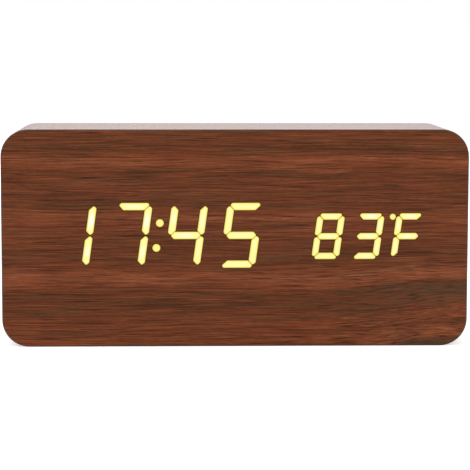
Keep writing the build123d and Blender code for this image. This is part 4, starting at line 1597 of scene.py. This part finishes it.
@dataclass(frozen=True)
class RaisedMark:
    """A plain sign that stands up a little from a moulding: a regular polygon with rounded corners."""

    sides: int
    radius: float
    corner: float
    turn: float
    height: float = 0.12 * MM
    draft: float = 0.06 * MM
    root: float = 0.1 * MM
    steps: int = 6

    def patch(self, x: float, z: float, rear: float) -> Patch:
        """The sign's surface over a wall.

        Each corner is an arc about a point on the line from the sign's middle, as far out as its radius
        less the corner's own. The top is drawn in by the draft.

        Args:
            x, z: the sign's middle.
            rear: depth of the wall that it stands on.

        Returns:
            The surface, closed at both ends.
        """
        way = self.turn + np.repeat(np.arange(self.sides), self.steps) * 2 * math.pi / self.sides
        angle = way + np.tile(np.linspace(-1.0, 1.0, self.steps), self.sides) * math.pi / self.sides
        reach = self.radius - self.corner
        foot = [(self.corner, rear - self.root), (self.corner, rear)]
        rows = np.array(foot + [(self.corner - self.draft, rear + self.height)])
        size, depth = rows[:, :1], rows[:, 1:]
        across = x + reach * np.cos(way) + size * np.cos(angle)
        above = z + reach * np.sin(way) + size * np.sin(angle)
        points = np.stack([across, np.broadcast_to(depth, above.shape), above], axis=-1)
        return Patch(points, close_ends=True)


@dataclass
class RearCover:
    """Black moulded cover with its door, buttons, screws and socket."""

    workshop: Workshop
    button_radius: float = 3.5 * MM
    flange_radius: float = 4.2 * MM
    flange_height: float = 1.2 * MM
    roll: float = 0.6 * MM
    dish: float = 0.25 * MM
    dish_share: float = 0.8
    cap_steps: int = 9
    ring_gap: float = 0.35 * MM
    ring_width: float = 1.0 * MM
    ring_height: float = 0.4 * MM
    ring_root: float = 0.1 * MM
    ring_steps: int = 13
    socket_radius: float = 3.5 * MM
    mark_lift: float = 8.0 * MM
    door_mark_drop: float = 13.0 * MM
    easing: float = 0.15 * MM
    head: CrossHead = CrossHead()
    up_mark: RaisedMark = RaisedMark(3, 1.5 * MM, 0.2 * MM, math.pi / 2)
    down_mark: RaisedMark = RaisedMark(3, 1.5 * MM, 0.2 * MM, -math.pi / 2)
    set_mark: RaisedMark = RaisedMark(4, 1.4 * MM, 0.35 * MM, math.pi / 4)
    door_mark: RaisedMark = RaisedMark(3, 1.8 * MM, 0.25 * MM, -math.pi / 2)
    black: Finish = Moulded("black moulding", tint(38, 38, 39), 0.55, grain=0.22 * MM, depth=0.05 * MM)
    door: Finish = Moulded("black door moulding", tint(36, 36, 37), 0.5, grain=0.22 * MM, depth=0.05 * MM)
    button: Finish = Moulded("button moulding", tint(46, 46, 48), 0.32, grain=0.4 * MM)
    screw: Finish = Metal("blackened steel", tint(62, 62, 64), 0.38)
    socket: Finish = Moulded("socket moulding", tint(26, 26, 27), 0.35)
    pin: Finish = Metal("plated pin", tint(200, 196, 186), 0.2)
    sign: Finish = Moulded("pale sign", tint(176, 176, 172), 0.6, grain=0.15 * MM, spread=0.2)

    def buttons(self) -> dict[str, RaisedMark]:
        """The buttons, each with the sign over it."""
        return {"set_button": self.set_mark, "up_button": self.up_mark, "down_button": self.down_mark}

    def rear(self) -> float:
        """Depth of the cover's outer face."""
        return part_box("back_cover")[1][1]

    def add_button(self, name: str) -> None:
        """A round cap over its flange.

        Its edge is a quarter circle, and its dish falls with the square of the radius.

        Args:
            name: the button's node and body.
        """
        low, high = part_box(name)
        rear, radius, base = high[1], self.button_radius, low[1]
        flange, shoulder = self.flange_radius, base + self.flange_height
        profile = [(0.0, base), (flange, base), (flange, shoulder), (radius, shoulder)]
        turn = np.linspace(0.0, math.pi / 2, self.cap_steps)
        roll_out, roll_up = self.roll * np.cos(turn), self.roll * np.sin(turn)
        profile += list(zip(radius - self.roll + roll_out, rear - self.roll + roll_up))
        share = np.linspace(self.dish_share, 0.0, self.cap_steps)
        profile += list(zip(radius * share, rear - self.dish * (1 - (share / self.dish_share) ** 2)))
        cap = Patch(turned(profile, *middle(name)))
        self.workshop.add(name + "_cap", [cap], (self.button,), "button", name, body=name)

    def ring_patch(self, node: str, hole: float) -> Patch:
        """A low ring round a node's hole: half a circle in section, flattened, over a short root.

        Args:
            node: the node in the hole.
            hole: the hole's radius.

        Returns:
            The ring.
        """
        rear, half = self.rear(), self.ring_width / 2
        centre = hole + self.ring_gap + half
        turn = np.linspace(0.0, math.pi, self.ring_steps)
        profile = list(zip(centre - half * np.cos(turn), rear + self.ring_height * np.sin(turn)))
        profile += [(centre + half, rear - self.ring_root), (centre - half, rear - self.ring_root)]
        return Patch(turned(profile, *middle(node)), wrap_rows=True)

    def add_rings(self) -> None:
        """Rings round the buttons and the socket, raised from the cover."""
        patches = [self.ring_patch(name, self.button_radius) for name in self.buttons()]
        patches.append(self.ring_patch("power_socket", self.socket_radius))
        self.workshop.add("cover_rings", patches, (self.black,), "back_cover")

    def add_marks(self) -> None:
        """Signs over the buttons, raised from the cover, and one under the door's tongue."""
        patches = []
        for name, mark in self.buttons().items():
            x, z = middle(name)
            patches.append(mark.patch(x, z + self.mark_lift, self.rear()))
        self.workshop.add("button_marks", patches, (self.sign,), "back_cover")
        low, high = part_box("battery_door")
        patch = self.door_mark.patch((low[0] + high[0]) / 2, high[2] - self.door_mark_drop, self.rear())
        self.workshop.add("door_mark", [patch], (self.sign,), "battery_door", body="battery_door")

    def add_screws(self) -> None:
        """Four screws in the cover's corners."""
        low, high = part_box("cover_screws")
        reach = self.head.radius
        columns, rows = ((low[axis] + reach, high[axis] - reach) for axis in (0, 2))
        seat = self.rear()
        patches = [self.head.patch(x, z, low[1], seat, high[1]) for x in columns for z in rows]
        self.workshop.add("cross_screws", patches, (self.screw,), "cover_screw", "cover_screws")

    def build(self) -> None:
        """Builds the buttons, rings, signs and screws, and dresses the mouldings."""
        for name in self.buttons():
            self.add_button(name)
        self.add_rings()
        self.add_marks()
        self.add_screws()
        self.workshop.dress(self.black, "back_cover", easing=self.easing)
        self.workshop.dress(self.door, "battery_door", easing=self.easing)
        self.workshop.dress(self.socket, "power_socket")
        self.workshop.dress(self.pin, "socket_pin")


@dataclass
class BatteryBay:
    """Four cells, their contacts and their leads."""

    workshop: Workshop
    cells: tuple[int, ...] = (1, 2, 3, 4)
    cell_sides: int = 64
    cell_roll: float = 0.5 * MM
    roll_steps: int = 6
    nub_height: float = 1.0 * MM
    nub_radius: float = 1.9 * MM
    nub_roll: float = 0.2 * MM
    end_dip: float = 0.15 * MM
    end_border: float = 1.2 * MM
    collar_drop: float = 0.25 * MM
    sleeve: Finish = Sleeve("cell sleeve", tint(58, 78, 104), 0.32)
    steel: Finish = Metal("cell steel", tint(196, 196, 192), 0.28, lines=Along.X)
    contact: Finish = Metal("nickel spring", tint(204, 202, 194), 0.24, lines=Along.X)
    red: Finish = Moulded("red insulation", tint(172, 34, 28), 0.4)
    black: Finish = Moulded("black insulation", tint(32, 32, 32), 0.4)

    def cell_profiles(self, length: float, radius: float) -> list[tuple[list[Pair], int]]:
        """Outline of a cell in three stretches, from its flat end over its sleeve to its nub.

        Args:
            length, radius: the cell's own.

        Returns:
            Radius and place along the cell of each row, with the number of the stretch's material.
        """
        roll, shoulder = self.cell_roll, length - self.nub_height
        border = radius - self.end_border
        turn = np.linspace(0.0, math.pi / 2, self.roll_steps)
        sleeve = list(zip(radius - roll + roll * np.sin(turn), roll - roll * np.cos(turn)))
        sleeve += list(zip(radius - roll + roll * np.cos(turn), shoulder - roll + roll * np.sin(turn)))
        sleeve.append((border, shoulder))
        flat_end = [(0.0, self.end_dip), (border, self.end_dip), (border + self.end_dip, 0.0), sleeve[0]]
        collar = shoulder - self.collar_drop
        edge, round_off = self.nub_radius, self.nub_roll
        nub = [(border, shoulder), (border - round_off, collar), (edge + round_off, collar), (edge, shoulder)]
        nub += [(edge, length - round_off), (edge - round_off, length), (0.0, length)]
        return [(flat_end, 1), (sleeve, 0), (nub, 1)]

    def add_cell(self, number: int) -> None:
        """A cell turned about a line along X, with every other one the other way round.

        Args:
            number: the cell's number.
        """
        name = "battery_cell_" + str(number)
        low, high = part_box(name)
        way = -1 if number % 2 else 1
        base = low[0] if way > 0 else high[0]
        length, radius = high[0] - low[0], (high[2] - low[2]) / 2
        patches = []
        for profile, material in self.cell_profiles(length, radius):
            grid = turned(profile, *middle(name, 1), steps=self.cell_sides)
            along = grid[..., 1]
            points = np.stack([base + way * along, grid[..., 0], grid[..., 2]], axis=-1)
            patches.append(Patch(points, material=material, values={"along": along / length}))
        self.workshop.add("cell_" + str(number), patches, (self.sleeve, self.steel), "cell_sleeve", name)

    def build(self) -> None:
        """Builds the cells and dresses the contacts and leads."""
        for number in self.cells:
            self.add_cell(number)
        self.workshop.dress(self.contact, "lead_contacts", "far_contacts")
        self.workshop.dress(self.red, "battery_lead_upper")
        self.workshop.dress(self.black, "battery_lead_lower")


@dataclass
class Works:
    """Boards, and what is soldered to them."""

    workshop: Workshop
    board: Finish = CircuitBoard("solder mask", tint(20, 70, 38), 0.3)
    epoxy: Finish = Moulded("chip epoxy", tint(30, 30, 31), 0.6, grain=0.12 * MM)
    ceramic: Finish = Moulded("resistor glaze", tint(36, 36, 38), 0.25)
    can: Finish = Metal("drawn can", tint(206, 206, 202), 0.22)
    zinc: Finish = Metal("zinc plate", tint(176, 176, 168), 0.35)
    nylon: Finish = Moulded("nylon plug", tint(222, 218, 202), 0.5)
    cable: Finish = Moulded("cable insulation", tint(168, 168, 166), 0.45)
    switch: Finish = Moulded("switch moulding", tint(34, 34, 35), 0.45)
    bead: Finish = Moulded("bead glaze", tint(54, 48, 42), 0.2)

    def build(self) -> None:
        """Dresses every node of the works."""
        dress = self.workshop.dress
        dress(self.board, "main_board", "button_board")
        dress(self.epoxy, "driver_chip", "control_chip", "digit_transistors")
        dress(self.ceramic, "chip_resistors")
        dress(self.can, "clock_crystal", "filter_capacitor", "board_spacers", "sound_sensor")
        dress(self.zinc, "main_board_screws", "button_board_screws")
        dress(self.nylon, "ribbon_plugs")
        dress(self.cable, "ribbon_cable")
        dress(self.switch, "switch_bodies", "set_plunger", "up_plunger", "down_plunger", "alarm_buzzer")
        dress(self.bead, "temperature_sensor")


def main() -> None:
    """Loads the frame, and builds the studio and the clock."""
    logging.basicConfig(level=logging.INFO, format="%(name)s: %(message)s")
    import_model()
    workshop = Workshop(Groups())
    for assembly in (Studio, WoodCase, Display, RearCover, BatteryBay, Works):
        assembly(workshop).build()


if __name__ == "__main__":
    main()
